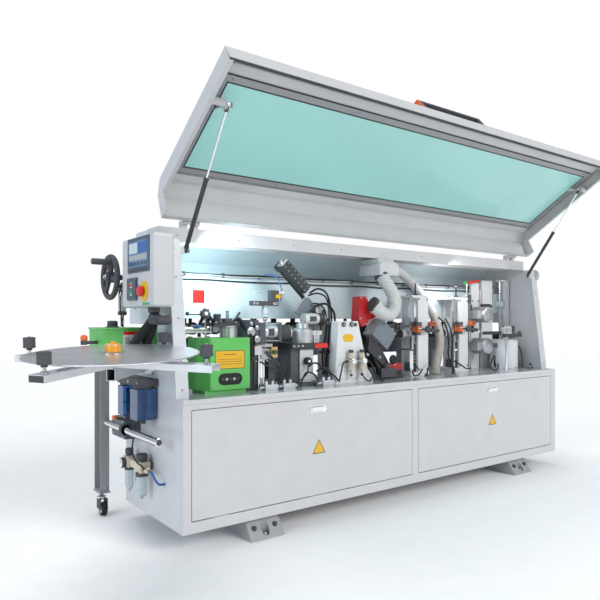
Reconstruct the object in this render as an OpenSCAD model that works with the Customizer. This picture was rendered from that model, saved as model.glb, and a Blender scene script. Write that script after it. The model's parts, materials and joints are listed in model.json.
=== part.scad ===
// Edge banding machine: a long cabinet with a hinged window lid over the processing units,
// a feed track with a pressure beam, a tape turntable, controls at the infeed end and a rear support.
// Frame: X along the feed direction, -Y the operator's side, Z up, floor at Z = 0.

/* [Cabinet] */
// Overall length of the cabinet
body_l = 3080; // [3060:10:3100]
// Depth of the cabinet
body_w = 710; // [700:5:720]
// Height of the deck above the floor
deck_z = 720; // [715:1:725]
// Height of the floor beams
foot_h = 100; // [90:5:105]
// Thickness of sheet metal
sheet = 4; // [3:0.5:5]

/* [Floor anchors] */
// Distance between the floor beams along the machine
foot_pitch = 2176; // [2100:2:2200]
// Distance between the anchor holes across the machine
anchor_y = 700; // [680:2:710]
// Radius of an anchor hole
anchor_r = 9; // [7:0.5:11]

/* [Hood] */
// Height of the end panels at the front
hood_z = 1485; // [1480:1:1490]
// Height of the top of the front beam
beam_top = 1556; // [1550:1:1560]
// Opening angle of the lid
lid_open = 116; // [110:1:118]

/* [Feed] */
// Height of the top of the chain pads
track_z = 990; // [985:1:995]
// Workpiece thickness that the rest position takes
board = 18; // [10:1:25]

/* [Turntable] */
// Radius of the tape disc
disc_r = 350; // [330:5:360]
// Upward tilt of the disc away from the operator
disc_tilt = 4; // [0:0.5:5]

/* [Hidden] */

$fn = 48;
hx = body_l / 2;
hy = body_w / 2;
// Running clearance on a radius
run = 0.05;
// Hairline between two welded or bolted plates, so that each stays a plain plate
seam = 0.05;

// Front edge of the end panels, from its foot to its head
panel_foot_y = -285;
panel_head_y = -190;
panel_back_y = 300;
flange_w = 66;

// Lid hinge axis, and the outline of the closed lid's skin in Y and Z
hinge_y = -95;
hinge_z = 1585;
hinge_x = 1370;
lid_skin = [[-91, 1565], [-216, 1552], [-277, 1493], [-370, 729]];
lid_dir = (lid_skin[3] - lid_skin[2]) / norm(lid_skin[3] - lid_skin[2]);
lid_in = [-lid_dir[1], lid_dir[0]];
lid_len = norm(lid_skin[3] - lid_skin[2]);
lid_depth = 78;
window_s0 = 110;
window_s1 = 615;
window_x = 1455;
skin_t = 3;

// Gas struts: the lower pivot, and the upper pivot on the open lid
strut_x = 1443;
strut_foot = [-180, 1430];
strut_top = [-600, 2030];
strut_dir = (strut_top - strut_foot) / norm(strut_top - strut_foot);
strut_len = norm(strut_top - strut_foot);
strut_tilt = atan2(strut_dir[1], strut_dir[0]);
tube_len = 380;
pin_r = 5;

// Doors
door_z = [156, 670];
door_t = 20;
door_gap = 3;
door_x = [[-1494, -26], [31, 1476]];
door_axis_z = 159;
door_axis_y = -hy + 3;
latch_x = [-752, 768];
latch_z = 616;

// Feed and pressure beam
fence_y = 110;
track_y = [125, 215];
beam_z = [1100, 1350];
beam_y = [105, 225];
column_y = [32, 80];
screw_y = 56;
wheel_r = 36;
wheel_z = track_z + board + wheel_r;

// Turntable: centre of the disc, and the directions of its two arms
disc_c = [-1898, -450, 953];
view_x = 0.596;
view_y = 0.803;
arm_turn = 34.2;
arm_1 = [-430, 400];
arm_2 = [-480, 470];
roller_1 = 390;
roller_2 = 430;

// ---- shared shapes ----

module box(x, y, z) translate([x[0], y[0], z[0]]) cube([x[1] - x[0], y[1] - y[0], z[1] - z[0]]);
module cyl_x(r, x, y, z) translate([x[0], y, z]) rotate([0, 90, 0]) cylinder(r = r, h = x[1] - x[0]);
module cyl_y(r, x, y, z) translate([x, y[1], z]) rotate([90, 0, 0]) cylinder(r = r, h = y[1] - y[0]);
module cyl_z(r, x, y, z) translate([x, y, z[0]]) cylinder(r = r, h = z[1] - z[0]);
// An outline in Y and Z carried along X
module along_x(points, x) translate([x[0], 0, 0]) rotate([90, 0, 90])
    linear_extrude(x[1] - x[0]) polygon(points);
// An outline in X and Z carried along Y
module along_y(points, y) translate([0, y[1], 0]) rotate([90, 0, 0])
    linear_extrude(y[1] - y[0]) polygon(points);
// The walls of a sheet-metal trough, box or channel: both long sides, both ends, and a floor or a lid
module walls(x, y, z, t) {
    for (side = [[y[0], y[0] + t], [y[1] - t, y[1]]]) box(x, side, z);
    for (end = [[x[0], x[0] + t], [x[1] - t, x[1]]]) box(end, [y[0] + t + seam, y[1] - t - seam], z);
}
// A plate with round ends, standing in X and Z
module stadium_y(x, y, z, w, h) {
    box([x - w / 2 + h / 2, x + w / 2 - h / 2], y, [z - h / 2, z + h / 2]);
    for (s = [-1, 1]) cyl_y(h / 2, x + s * (w - h) / 2, y, z);
}
// A round tube swept along points, as one closed polyhedron
function unit(v) = v / norm(v);
function side_of(t) = unit(cross(t, abs(t[2]) > 0.9 ? [1, 0, 0] : [0, 0, 1]));
function tangent(p, i) = unit(p[min(i + 1, len(p) - 1)] - p[max(i - 1, 0)]);
function smooth(p, n) = [for (i = [0:len(p) - 2], k = [0:n - 1])
    let (a = p[max(i - 1, 0)], b = p[i], c = p[i + 1], d = p[min(i + 2, len(p) - 1)], t = k / n)
    0.5 * (2 * b + (c - a) * t + (2 * a - 5 * b + 4 * c - d) * t * t + (3 * b - a - 3 * c + d) * t * t * t),
    p[len(p) - 1]];
module swept(route, r, sides = 10) {
    p = smooth(route, 4);
    n = len(p);
    points = [for (i = [0:n - 1], k = [0:sides - 1])
        let (t = tangent(p, i), u = side_of(t), v = cross(t, u), a = 360 * k / sides)
        p[i] + r * (cos(a) * u + sin(a) * v)];
    walls = [for (i = [0:n - 2], k = [0:sides - 1])
        [i * sides + k, i * sides + (k + 1) % sides,
            (i + 1) * sides + (k + 1) % sides, (i + 1) * sides + k]];
    polyhedron(points, concat([for (w = walls) [w[3], w[2], w[1], w[0]]],
        [[for (k = [0:sides - 1]) k], [for (k = [sides - 1:-1:0]) (n - 1) * sides + k]]));
}

// ---- cabinet ----

deck_t = 8;
floor_t = 6;
module base_cabinet() color("whitesmoke") {
    inner_x = hx - sheet - seam;
    inner_y = hy - sheet - seam;
    under = deck_z - deck_t - seam;
    rail_top = door_z[1] + door_gap;
    rail_low = door_z[0] - door_gap;
    box([-hx, hx], [-hy, hy], [deck_z - deck_t, deck_z]);
    box([-inner_x, inner_x], [-inner_y, inner_y], [foot_h, foot_h + floor_t]);
    for (side = [[-hx, -hx + sheet], [hx - sheet, hx]]) box(side, [-hy, hy], [foot_h, under]);
    box([-inner_x, inner_x], [hy - sheet, hy], [foot_h, under]);
    // Partition, which stops short of the back so that cables pass behind it
    box([-2, 2], [-inner_y, 280], [foot_h + floor_t + seam, under]);
    // Front rails and stiles round the doors
    box([-inner_x, inner_x], [-hy, -hy + sheet], [foot_h, rail_low]);
    box([-inner_x, inner_x], [-hy, -hy + sheet], [rail_top, under]);
    for (stile = [[-inner_x, door_x[0][0] - door_gap], [door_x[0][1] + door_gap, door_x[1][0] - door_gap],
        [door_x[1][1] + door_gap, inner_x]])
        box(stile, [-hy, -hy + sheet], [rail_low + seam, rail_top - seam]);
}

module floor_feet() color("gainsboro") for (s = [-1, 1]) difference() {
    along_x([[-384, 0], [384, 0], [312, foot_h], [-312, foot_h]],
        [s * foot_pitch / 2 - 99, s * foot_pitch / 2 + 99]);
    for (t = [-1, 1]) {
        cyl_z(anchor_r, s * foot_pitch / 2, t * anchor_y / 2, [-1, foot_h]);
        cyl_z(24, s * foot_pitch / 2, t * anchor_y / 2, [15, foot_h]);
    }
}

panel_outline = [[panel_foot_y, deck_z], [panel_head_y, hood_z], [60, hood_z], [60, beam_top - 4],
    [200, beam_top - 4], [panel_back_y, 1420], [panel_back_y, deck_z]];
panel_lean = atan2(panel_head_y - panel_foot_y, hood_z - deck_z);

module end_panel(s) color("whitesmoke") difference() {
    union() {
        along_x(panel_outline, s < 0 ? [-hx, -hx + sheet] : [hx - sheet, hx]);
        along_x([[panel_foot_y, deck_z], [panel_head_y, hood_z], [panel_head_y + sheet, hood_z],
            [panel_foot_y + sheet, deck_z]], s < 0 ? [-hx, -hx + flange_w] : [hx - flange_w, hx]);
        // Bracket and pin that carry the strut
        box(s < 0 ? [-hx + 2, -strut_x - 11] : [strut_x + 11, hx - 2], [-194, -164], [1412, 1448]);
        cyl_x(pin_r, s < 0 ? [-strut_x - 12, -strut_x + 14] : [strut_x - 14, strut_x + 12],
            strut_foot[0], strut_foot[1]);
    }
    // Slot for the panel being edged, open to the rear
    box([s * hx - 10, s * hx + 10], [fence_y, panel_back_y + 10], [track_z - 15, track_z + 80]);
    // Slot in which the lifting shaft rises with the pressure beam
    if (s < 0) box([-hx - 10, -hx + 10], [wheel_y - 20, wheel_y + 20], [wheel_zc - 30, wheel_zc + 65]);
}
module end_panel_left() end_panel(-1);
module end_panel_right() end_panel(1);

module top_beam() color("gainsboro") {
    box([-hx, hx], [-85, 60], [beam_top - sheet, beam_top]);
    walls([-hx, hx], [-85, 60], [hood_z, beam_top - sheet - seam], sheet);
    // Fixed hinge leaves, with the pin between them
    for (s = [-1, 1]) {
        for (t = [-1, 1]) translate([s * hinge_x + t * 31, 0, 0]) {
            box([-15, 15], [-84, -50], [beam_top + seam, hinge_z + 9]);
            box([-15, 15], [hinge_y, -84], [hinge_z - 9, hinge_z + 9]);
            cyl_x(9, [-15, 15], hinge_y, hinge_z);
        }
        cyl_x(pin_r, [s * hinge_x - 20, s * hinge_x + 20], hinge_y, hinge_z);
    }
}

module rear_cover() color("lightblue") along_x([[60, beam_top - 4], [200, beam_top - 4], [296, 1424],
    [296, 1200], [292, 1200], [292, 1421], [197, beam_top - 8], [60, beam_top - 8]],
    [-hx + sheet, hx - sheet]);

// ---- feed track and pressure beam ----

module track_beam() color("dimgray") {
    box([-1480, 1480], track_y, [870, track_z - 25]);
    for (x = [-1400, -480, 480, 1400]) box([x - 60, x + 60], track_y, [deck_z, 870 - seam]);
    // Housings of the two chain wheels
    for (x = [[-1514, -1480 - seam], [1480 + seam, 1514]]) box(x, [115, 225], [890, track_z - 12]);
}

module feed_chain() color([0.1, 0.1, 0.11]) {
    box([-1470, 1470], [130, 210], [track_z - 25, track_z - 12 - seam]);
    // Rubber pads on the links
    for (i = [-21:20]) box([i * 68 + 3, i * 68 + 65], [130, 210], [track_z - 12, track_z]);
}

module beam_columns() color("whitesmoke") for (s = [-1, 1]) {
    box([s * 1495 - 25, s * 1495 + 25], column_y, [deck_z, 1400]);
    cyl_z(9, s * 1430, screw_y, [deck_z, 1400]);
    box([s * 1462 - 50, s * 1462 + 50], column_y, [1400, 1412]);
}

shaft_r = 14;
beam_wall = 6;
carriage_y = [column_y[1] + 2, beam_y[0] - seam];
module pressure_beam() color("aliceblue") {
    box([-1420, 1420], beam_y, [beam_z[0], beam_z[0] + beam_wall]);
    walls([-1420, 1420], beam_y, [beam_z[0] + beam_wall + seam, beam_z[1]], beam_wall);
    // Carriages in front of the ends, with the nuts that ride on the lifting screws
    for (s = [-1, 1]) {
        box([s * 1440 - 60, s * 1440 + 60], carriage_y, [1150, 1300]);
        difference() {
            box([s * 1430 - 24, s * 1430 + 24], [column_y[0] + 2, carriage_y[0] - seam], [1200, 1240]);
            cyl_z(10, s * 1430, screw_y, [1190, 1250]);
        }
    }
    // Sleeve that carries the hand wheel's shaft
    difference() {
        cyl_x(shaft_r, [-1640, -1420 - seam], wheel_y, wheel_zc);
        cyl_x(10 + run, [-1641, -1500], wheel_y, wheel_zc);
    }
}

module pinch_rollers() color([0.09, 0.09, 0.1]) for (i = [-19:19]) translate([i * 72, 0, 0]) {
    // Wheels hang in two rows, each from a strip on the side away from the other row
    y = i % 2 == 0 ? 137 : 173;
    hanger = i % 2 == 0 ? 127 : 205;
    cyl_y(wheel_r - 1, 0, [y, y + 30], wheel_z);
    gap = i % 2 == 0 ? [133 + seam, 137 - seam] : [203 + seam, 205 - seam];
    box([-7, 7], gap, [wheel_z - 7, wheel_z + 7]);
    box([-9, 9], [hanger, hanger + 6], [wheel_z - 12, beam_z[0]]);
}

// ---- processing units ----

glue_plan = [[-1360, -130], [-1318, -205], [-1086, -205], [-1086, -40], [-1360, -40]];
glue_z = [736, 1000];
glue_wall = 6;
module glue_box() color("limegreen") {
    wall_z = [glue_z[0] + 8 + seam, glue_z[1] - 8 - seam];
    for (z = [glue_z[0], glue_z[1] - 8]) translate([0, 0, z]) linear_extrude(8) polygon(glue_plan);
    box([-1340, -1100], [-190, -50], [deck_z, glue_z[0] - seam]);
    // Front in four plates round its slot, the slanted corner, and the two ends; the back is open
    slot_x = [-1256, -1150];
    slot_z = [771, 809];
    for (x = [[-1318, slot_x[0]], [slot_x[1], -1086]]) box(x, [-205, -205 + glue_wall], wall_z);
    for (z = [[wall_z[0], slot_z[0]], [slot_z[1], wall_z[1]]])
        box(slot_x + [seam, -seam], [-205, -205 + glue_wall], z);
    translate([0, 0, wall_z[0]]) linear_extrude(wall_z[1] - wall_z[0])
        polygon([[-1360, -130], [-1318.1, -204.9], [-1318.1, -192], [-1352, -130]]);
    box([-1360, -1360 + glue_wall], [-130 + seam, -40], wall_z);
    box([-1086 - glue_wall, -1086], [-205 + glue_wall + seam, -40], wall_z);
}

module glue_pot() color("silver") {
    cyl_z(42, -1160, -110, [1000, 1052]);
    cyl_z(48, -1160, -110, [1052, 1060]);
    box([-1265, -1115], [-150, -60], [1060, 1078]);
    for (x = [-1208, -1167, -1157]) cyl_z(4, x, -100, [1078, x < -1200 ? 1105 : 1140]);
    cyl_z(14, -1182, -100, [1078, 1100]);
    translate([-1130, -110, 1078]) rotate([0, 35, 0]) cylinder(r = 7, h = 66);
    translate([-1225, -105, 1078]) cylinder(r = 20, h = 34);
}

module tape_feeder() color("slategray") {
    // Infeed guide: post, guide plate, cross rod and clamping knob
    cyl_z(6, -1250, -25, [deck_z, 1128]);
    box([-1402, -1242], [-84, -19], [1024, 1032]);
    cyl_x(5, [-1365, -1240], -25, 1122);
    cyl_y(20, -1262, [-56, -19], 1122);
    // Tape magazine plates and the feed motor lying along the machine
    for (x = [-1084, -1046]) box([x, x + 24], [-190, 60], [960, 1092]);
    box([-1084, -880], [-110, 60], [940, 960]);
    box([-1004, -965], [-170, -60], [959, 1078]);
    cyl_x(44, [-966, -876], -120, 1025);
    box([-877, -861], [-172, -68], [972, 1078]);
    cyl_x(42, [-862, -780], -120, 1020);
    box([-1010, -960], [-100, 40], [deck_z, 941]);
    box([-1084, -1030], [-170, 40], [deck_z, 961]);
    // Sensor bracket above the magazine
    cyl_z(8, -933, -115, [1068, 1108]);
    cyl_z(17, -933, -115, [1107, 1170]);
    box([-1028, -853], [-128, -104], [1169, 1195]);
    box([-905, -853], [-134, -100], [1194, 1255]);
}

module press_unit() color("silver") {
    box([-800, -560], [-190, -60], [deck_z, 736]);
    box([-790, -740], [-160, 60], [735, 931]);
    box([-800, -552], [-190, 60], [930, 962]);
    cyl_z(58, -684, -125, [962, 1034]);
    cyl_z(34, -684, -125, [1034, 1072]);
    box([-620, -580], [-150, -60], [962, 1030]);
    box([-650, -560], [-150, -60], [1005, 1030]);
}

rail_turn = 43;
module at_rail() translate([-700, -40, 1335]) rotate([0, rail_turn, 0]) children();
module end_cut_rail() color([0.16, 0.14, 0.15]) {
    at_rail() {
        difference() {
            box([-115, 103], [-60, -6], [-27, 27]);
            box([-112, 104], [-24, -5], [-10, 10]);
        }
        box([-115, -75], [-7, 34], [-27, 27]);
        box([-115, 300], [22, 34], [-18, 18]);
    }
    box([-475, -385], [-60, 0], [deck_z, 1085]);
    box([-486, -430], [-24, -2], [1080, 1154]);
}

// Saw carriage of the end cutting unit, hanging under the slanted guide
module trim_saw() color("lightsteelblue") at_rail() {
    box([145, 300], [-5, 10], [-125, 6]);
    box([62, 100], [-22, -6], [-9.9, 9.9]);
    box([62, 160], [-6, 5], [-9.9, 5.9]);
    translate([257, -36, -84]) rotate([0, -rail_turn, 0]) {
        cyl_x(32, [-75, 75], 0, 0);
        box([-30, 30], [0, 32], [-28, 28]);
    }
}

module tracking_casting() color("white") {
    along_y([[-535, deck_z], [-218, deck_z], [-218, deck_z + 22], [-262, 800], [-340, 1085],
        [-492, 1085], [-512, 790], [-535, deck_z + 22]], [-215, -155]);
    box([-535, -222], [-155, -70], [deck_z, deck_z + 20]);
    box([-455, -355], [-155, -75], [740, 1070]);
}

module air_valves() color("wheat") {
    for (x = [-415, -330]) {
        cyl_z(20, x, -240, [800, 870]);
        cyl_z(13, x, -240, [870, 900]);
        box([x - 22, x + 22], [-262, -216], [840, 862]);
        cyl_z(7, x, -240, [780, 800]);
    }
    for (x = [-985, -870, -600]) {
        box([x - 38, x + 38], [-262, -212], [deck_z, 752]);
        for (t = [-20, 20]) cyl_z(9, x + t, -237, [752, 772]);
        cyl_x(8, [x - 52, x + 52], -237, 736);
    }
}

module trim_unit() color("firebrick") {
    // Dust hood
    along_y([[-262, 1236], [-205, 1236], [-175, 1130], [-120, 1140], [-120, 1112], [-180, 1095],
        [-205, 1060], [-245, 1052], [-275, 1090]], [-150, -80]);
    // Cutter motor set at a slant on its carrier
    translate([-80, -95, 1005]) rotate([0, 38, 0]) box([-80, 80], [-75, 15], [-62, 62]);
    translate([-120, -95, 880]) rotate([0, -35, 0]) box([-45, 45], [-60, 40], [-110, 60]);
    box([-200, 20], [-60, -38], [deck_z, 1060]);
    box([-190, 90], [-170, -60], [deck_z, 750]);
}

module dust_hoses() color([0.75, 0.75, 0.76]) {
    swept([[-185, -196, 1185], [-140, -205, 1140], [-80, -210, 1125], [-20, -195, 1160], [5, -170, 1240],
        [-15, -130, 1320], [-30, -90, 1378]], 42, 12);
    box([-75, 90], [-130, 60], [1380, 1460]);
    // Second hose: behind the first gantry, then down between the two
    swept([[85, -40, 1425], [200, -10, 1425], [340, 40, 1385], [450, 62, 1325], [550, 62, 1245],
        [620, 45, 1140], [625, 0, 1030], [580, -55, 930], [510, -95, 840], [472, -110, 770],
        [468, -112, 723]], 31, 12);
}

gantry_l = [340, -114];
gantry_r = [845, -50];
module gantry(at) translate([at[0], at[1], 0]) {
    box([-120, 60], [0, 150], [deck_z, deck_z + 24]);
    box([-50, 50], [0, 16], [deck_z + 23, 1241]);
    box([-50, 50], [134, 150], [deck_z + 23, 1241]);
    box([-110, 50], [0, 150], [1240, 1257]);
    box([-110, -96], [0, 16], [deck_z + 23, 1241]);
    cyl_z(5, 0, 70, [1256, 1340]);
    cyl_z(14, 0, 70, [1256, 1272]);
    for (s = [-26, 26]) cyl_z(8, s, 70, [deck_z + 23, 1241]);
}
module gantry_left() color("white") gantry(gantry_l);
module gantry_right() color("white") gantry(gantry_r);

module gantry_head(at) translate([at[0], at[1], 0]) difference() {
    union() {
        box([-60, 60], [30, 110], [930, 1110]);
        cyl_x(30, [-150, -59], 70, 1000);
        box([-112, -59], [22, 60], [1015, 1060]);
        cyl_x(14, [59, 100], 50, 1030);
    }
    for (s = [-26, 26]) cyl_z(8 + run, s, 70, [900, 1150]);
    cyl_z(6, 0, 70, [900, 1150]);
}
module gantry_head_left() color("orangered") gantry_head(gantry_l);
module gantry_head_right() color("orangered") gantry_head(gantry_r);

buff_x = 1100;
buff_y = -80;
buff_z = [1133, 896];
module buff_unit() color("silver") {
    for (x = [[buff_x - 35, buff_x + 65], [1195, 1330]])
        box(x, [buff_y + 134, buff_y + 150], [deck_z, x[1] > 1300 ? 1402 : 1380]);
    for (z = buff_z) difference() {
        union() {
            cyl_y(56, buff_x, [buff_y, buff_y + 135], z);
            box([buff_x - 92, buff_x - 50], [buff_y + 30, buff_y + 110], [z - 30, z + 30]);
        }
        for (k = [0:7]) rotate_about_y(buff_x, z, 45 * k)
            cyl_y(7, buff_x + 34, [buff_y - 1, buff_y + 12], z);
    }
    box([buff_x - 92, buff_x - 74], [buff_y + 109, buff_y + 150], [deck_z, 1300]);
    box([buff_x - 75, buff_x - 34], [buff_y + 134, buff_y + 150], [1180, 1240]);
    // Scraper post with its clamp, and the air drum
    cyl_z(9, 1029, -282, [deck_z, 975]);
    box([1012, 1210], [-290, -262], [968, 992]);
    cyl_z(104, 1316, -60, [deck_z, 942]);
}
module rotate_about_y(x, z, a) translate([x, 0, z]) rotate([0, a, 0]) translate([-x, 0, -z]) children();

module buff_wheel(z) color("ivory") difference() {
    union() {
        cyl_y(95, buff_x, [buff_y + 160, buff_y + 182], z);
        cyl_y(20, buff_x, [buff_y + 151, buff_y + 161], z);
    }
    cyl_y(8, buff_x, [buff_y + 170, buff_y + 183], z);
}
module buff_wheel_top() buff_wheel(buff_z[0]);
module buff_wheel_low() buff_wheel(buff_z[1]);

// ---- infeed end ----

button_y = -138;
button_z = [1254, 1218];
stop_y = -268;
panel_y = [-382, 15];
panel_z = [1150, 1482];
module control_box() color("whitesmoke") {
    body_x = [-1678, -1590];
    inner_z = [panel_z[0] + sheet + seam, panel_z[1] - sheet - seam];
    for (z = [panel_z[0], panel_z[1] - sheet]) box(body_x, panel_y, [z, z + sheet]);
    for (y = [panel_y[0], panel_y[1] - sheet]) box(body_x, [y, y + sheet], inner_z);
    box([body_x[1] - sheet, body_x[1]], panel_y + (sheet + seam) * [1, -1], inner_z);
    box([body_x[1] + seam, -hx], [-230, -30], [1170, 1470]);
    // Operator's face with the screen recess, the switch block and the stop button's collar
    difference() {
        union() {
            box([-1690, -1678 - seam], panel_y, panel_z);
            box([-1702, -1690], [-191, -84], [1184, 1288]);
            cyl_x(37, [-1696, -1690], stop_y, 1222);
        }
        box([-1691, -1684], [-333, -70], [1310, 1476]);
        cyl_x(14, [-1703, -1677], stop_y, 1222);
        for (z = button_z) cyl_x(9, [-1703, -1684], button_y, z);
    }
}

module touch_screen() color("steelblue") box([-1694, -1684], [-333, -70], [1310, 1476]);

module estop_button() color("red") {
    cyl_x(13.9, [-1702, -1682], stop_y, 1222);
    cyl_x(25, [-1722, -1702], stop_y, 1222);
}
module start_button() color("green") cyl_x(8.9, [-1708, -1688], button_y, button_z[1]);
module stop_button() color("red") cyl_x(8.9, [-1708, -1688], button_y, button_z[0]);

wheel_y = 150;
wheel_zc = 1309;
wheel_x = -1700;
module handwheel() color([0.06, 0.06, 0.07]) {
    translate([wheel_x, wheel_y, wheel_zc]) rotate([0, 90, 0])
        rotate_extrude($fn = 64) translate([103, 0]) circle(r = 14, $fn = 24);
    cyl_x(28, [wheel_x - 18, wheel_x + 22], wheel_y, wheel_zc);
    for (a = [70, 190, 310]) rotate_about_x(wheel_y, wheel_zc, a)
        box([wheel_x - 7, wheel_x + 7], [wheel_y + 20, wheel_y + 100], [wheel_zc - 12, wheel_zc + 12]);
    rotate_about_x(wheel_y, wheel_zc, 114) {
        box([wheel_x - 7, wheel_x + 7], [wheel_y + 20, wheel_y + 100], [wheel_zc - 12, wheel_zc + 12]);
        cyl_x(15, [wheel_x - 103, wheel_x], wheel_y + 80, wheel_zc);
    }
    cyl_x(10, [wheel_x, -1510], wheel_y, wheel_zc);
}
module rotate_about_x(y, z, a) translate([0, y, z]) rotate([a, 0, 0]) translate([0, -y, -z]) children();

module cutter_box() color("limegreen") {
    top = 1052;
    for (z = [952, top - sheet]) box([-1821, -1602], [-92, 104], [z, z + sheet]);
    walls([-1821, -1602], [-92, 104], [952 + sheet + seam, top - sheet - seam], sheet);
    box([-1602 + seam, -hx], [-60, 80], [960, 1040]);
    // Adjusting knob
    cyl_z(34, -1745, -10, [top + seam, 1061]);
    cyl_z(24, -1745, -10, [1061 + seam, 1086]);
    // Tape shear cylinder on its post
    cyl_z(9, -1662, 83, [top + seam, 1117 - seam]);
    cyl_z(20, -1662, 83, [1117, 1270]);
    cyl_z(9, -1662, 83, [1270 + seam, 1282]);
    // Sprung lever
    cyl_x(9, [-1872 + seam, -1821 - seam], -20, 985);
    cyl_z(16, -1884, -20, [994 + seam, 1020]);
    box([-1896, -1872], [-32, -8], [976, 994]);
}

module duct_pipe() color([0.12, 0.12, 0.13]) {
    swept([[-1620, -216, 1140], [-1620, -215, 1105], [-1638, -190, 1060], [-1672, -150, 1005],
        [-1690, -130, 960], [-1690, -128, 930]], 24, 12);
    swept([[-1622, -214, 1085], [-1618, -180, 1040], [-1625, -145, 990], [-1630, -130, 950],
        [-1630, -128, 930]], 22, 12);
    cyl_x(22, [-1622, -1556], -240, 1090);
    cyl_z(28, -1620, -216, [1128, 1150]);
    box([-1714, -1604], [-154, -102], [897, 935]);
    box([-1605, -hx], [-140, -112], [900, 930]);
}

// ---- turntable ----

module on_disc() translate(disc_c) rotate(a = disc_tilt, v = [view_y, -view_x, 0]) children();
// Channel open downwards: its web, and a flange on each side
module channel(x) {
    box(x, [-35, 35], [-27, -24]);
    for (y = [[-35, -32], [32, 35]]) box(x, y, [-52, -27 - seam]);
}
module turntable_arms() color("lightgray") {
    on_disc() rotate([0, 0, arm_turn]) {
        channel(arm_1);
        rotate([0, 0, -90]) for (x = [[arm_2[0], -36], [36, arm_2[1]]]) channel(x);
        // Clamp plate under the crossing, on the head of the column
        box([-36, 36], [-31.9, 31.9], [-36, -27 - seam]);
        cylinder_at(0, 0, 12, [-24 + seam, 26]);
        for (r = [[-roller_1, 0], [roller_1, 0], [0, -roller_2], [0, roller_2]])
            cylinder_at(r[0], r[1], 5, [-24 + seam, 40]);
    }
    cyl_z(30, disc_c[0], disc_c[1], [893 + seam, 920]);
    // Square support tube from the cabinet wall
    difference() {
        translate([disc_c[0], disc_c[1], 0]) rotate([0, 0, atan2(view_y, view_x)]) {
            for (z = [843, 890]) box([-30, 640], [-18, 18], [z, z + 3]);
            for (y = [-18, 15]) box([-30, 640], [y, y + 3], [846 + seam, 890 - seam]);
        }
        box([-1546 - seam, -hx + 200], [-150, 200], [800, 930]);
    }
    box([-1546, -hx], [-40, 120], [810, 920]);
}
module cylinder_at(x, y, r, z) translate([x, y, z[0]]) cylinder(r = r, h = z[1] - z[0]);

module turntable_disc() color("silver") on_disc() difference() {
    union() {
        cylinder_at(0, 0, disc_r, [-4, 0]);
        cylinder_at(0, 0, 30, [-20, 40]);
    }
    cylinder_at(0, 0, 12 + run, [-21, 27]);
}

module guide_roller(x, y) color([0.13, 0.13, 0.14]) on_disc() rotate([0, 0, arm_turn]) difference() {
    union() {
        cylinder_at(x, y, 25, [8, 52]);
        cylinder_at(x, y, 12, [-2, 8]);
    }
    cylinder_at(x, y, 5 + run, [-3, 42]);
}
module guide_roller_1() guide_roller(-roller_1, 0);
module guide_roller_2() guide_roller(roller_1, 0);
module guide_roller_3() guide_roller(0, -roller_2);
module guide_roller_4() guide_roller(0, roller_2);

// ---- left wall fittings ----

bottles = [[175, 38], [-33, 48]];
module spray_bottles() color([0.3, 0.45, 0.8]) {
    for (b = bottles) {
        cyl_z(b[1], -1600, b[0], [600, 766]);
        cyl_z(12, -1600, b[0], [584, 601]);
    }
    cyl_y(7, -1600, [-33, 175], 590);
    box([-1640, -hx], [-85, 215], [765, 800]);
}

module air_service() color("wheat") {
    box([-1612, -hx], [-30, 200], [330, 384]);
    cyl_z(32, -1590, 5, [200, 330 - seam]);
    cyl_z(25, -1590, 175, [190, 330 - seam]);
    cyl_x(26, [-1640, -1612 - seam], 178, 350);
    cyl_y(9, -1590, [-90, -30 - seam], 350);
    // Threaded inlet for the shop's air hose
    difference() {
        cyl_y(14, -1590, [200 + seam, 240], 350);
        cyl_y(6, -1590, [205, 241], 350);
    }
}

module feed_motor() color("darkslategray") {
    box([1180, 1330], [20, 150], [106, 260]);
    cyl_x(60, [920, 1180], 85, 183);
    cyl_z(18, 1255, 85, [260, 500]);
    // Electrical panel on the partition side
    box([-900, -300], [300, 320], [180, 640]);
    for (x = [-840, -680, -520]) box([x, x + 120], [240, 300], [380, 560]);
}

// ---- rear support ----

sleeve_x = -1620;
sleeve_z = 524;
tube_r = 19;
module slide_sleeve() color("slategray") difference() {
    union() {
        cyl_y(28, sleeve_x, [140, 175], sleeve_z);
        box([sleeve_x - 4, -hx], [145, 340], [sleeve_z - 50, sleeve_z + 50]);
    }
    cyl_y(tube_r + run, sleeve_x, [130, 350], sleeve_z);
}

leg_y = [452, 552];
leg_x = [[-1650, -1600], [1130, 1180]];
rail_z = track_z - 45;
module support_leg() color("lightgray") {
    // Chrome slide bar
    cyl_y(tube_r, sleeve_x, [-270, leg_y[0] - seam], sleeve_z);
    // Channel legs, closed above and below
    for (x = leg_x) {
        box([x[1] - 4, x[1]], leg_y, [139 + seam, rail_z - 6 - seam]);
        for (y = [[leg_y[0], leg_y[0] + 4], [leg_y[1] - 4, leg_y[1]]])
            box([x[0], x[1] - 4 - seam], y, [139 + seam, rail_z - 6 - seam]);
        for (z = [[133, 139], [rail_z - 6, rail_z - seam]]) box(x, leg_y, z);
    }
    cyl_z(8, 1155, 502, [9 + seam, 133 - seam]);
    cyl_z(26, 1155, 502, [0, 9]);
    // Roller rail
    box([-1660, 1200], [480, 524], [rail_z, rail_z + 4]);
    walls([-1660, 1200], [480, 524], [rail_z + 4 + seam, rail_z + 36], 4);
    for (i = [-13:9]) cyl_y(14, i * 120, [484 + seam, 520 - seam], track_z - 14);
}

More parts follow.
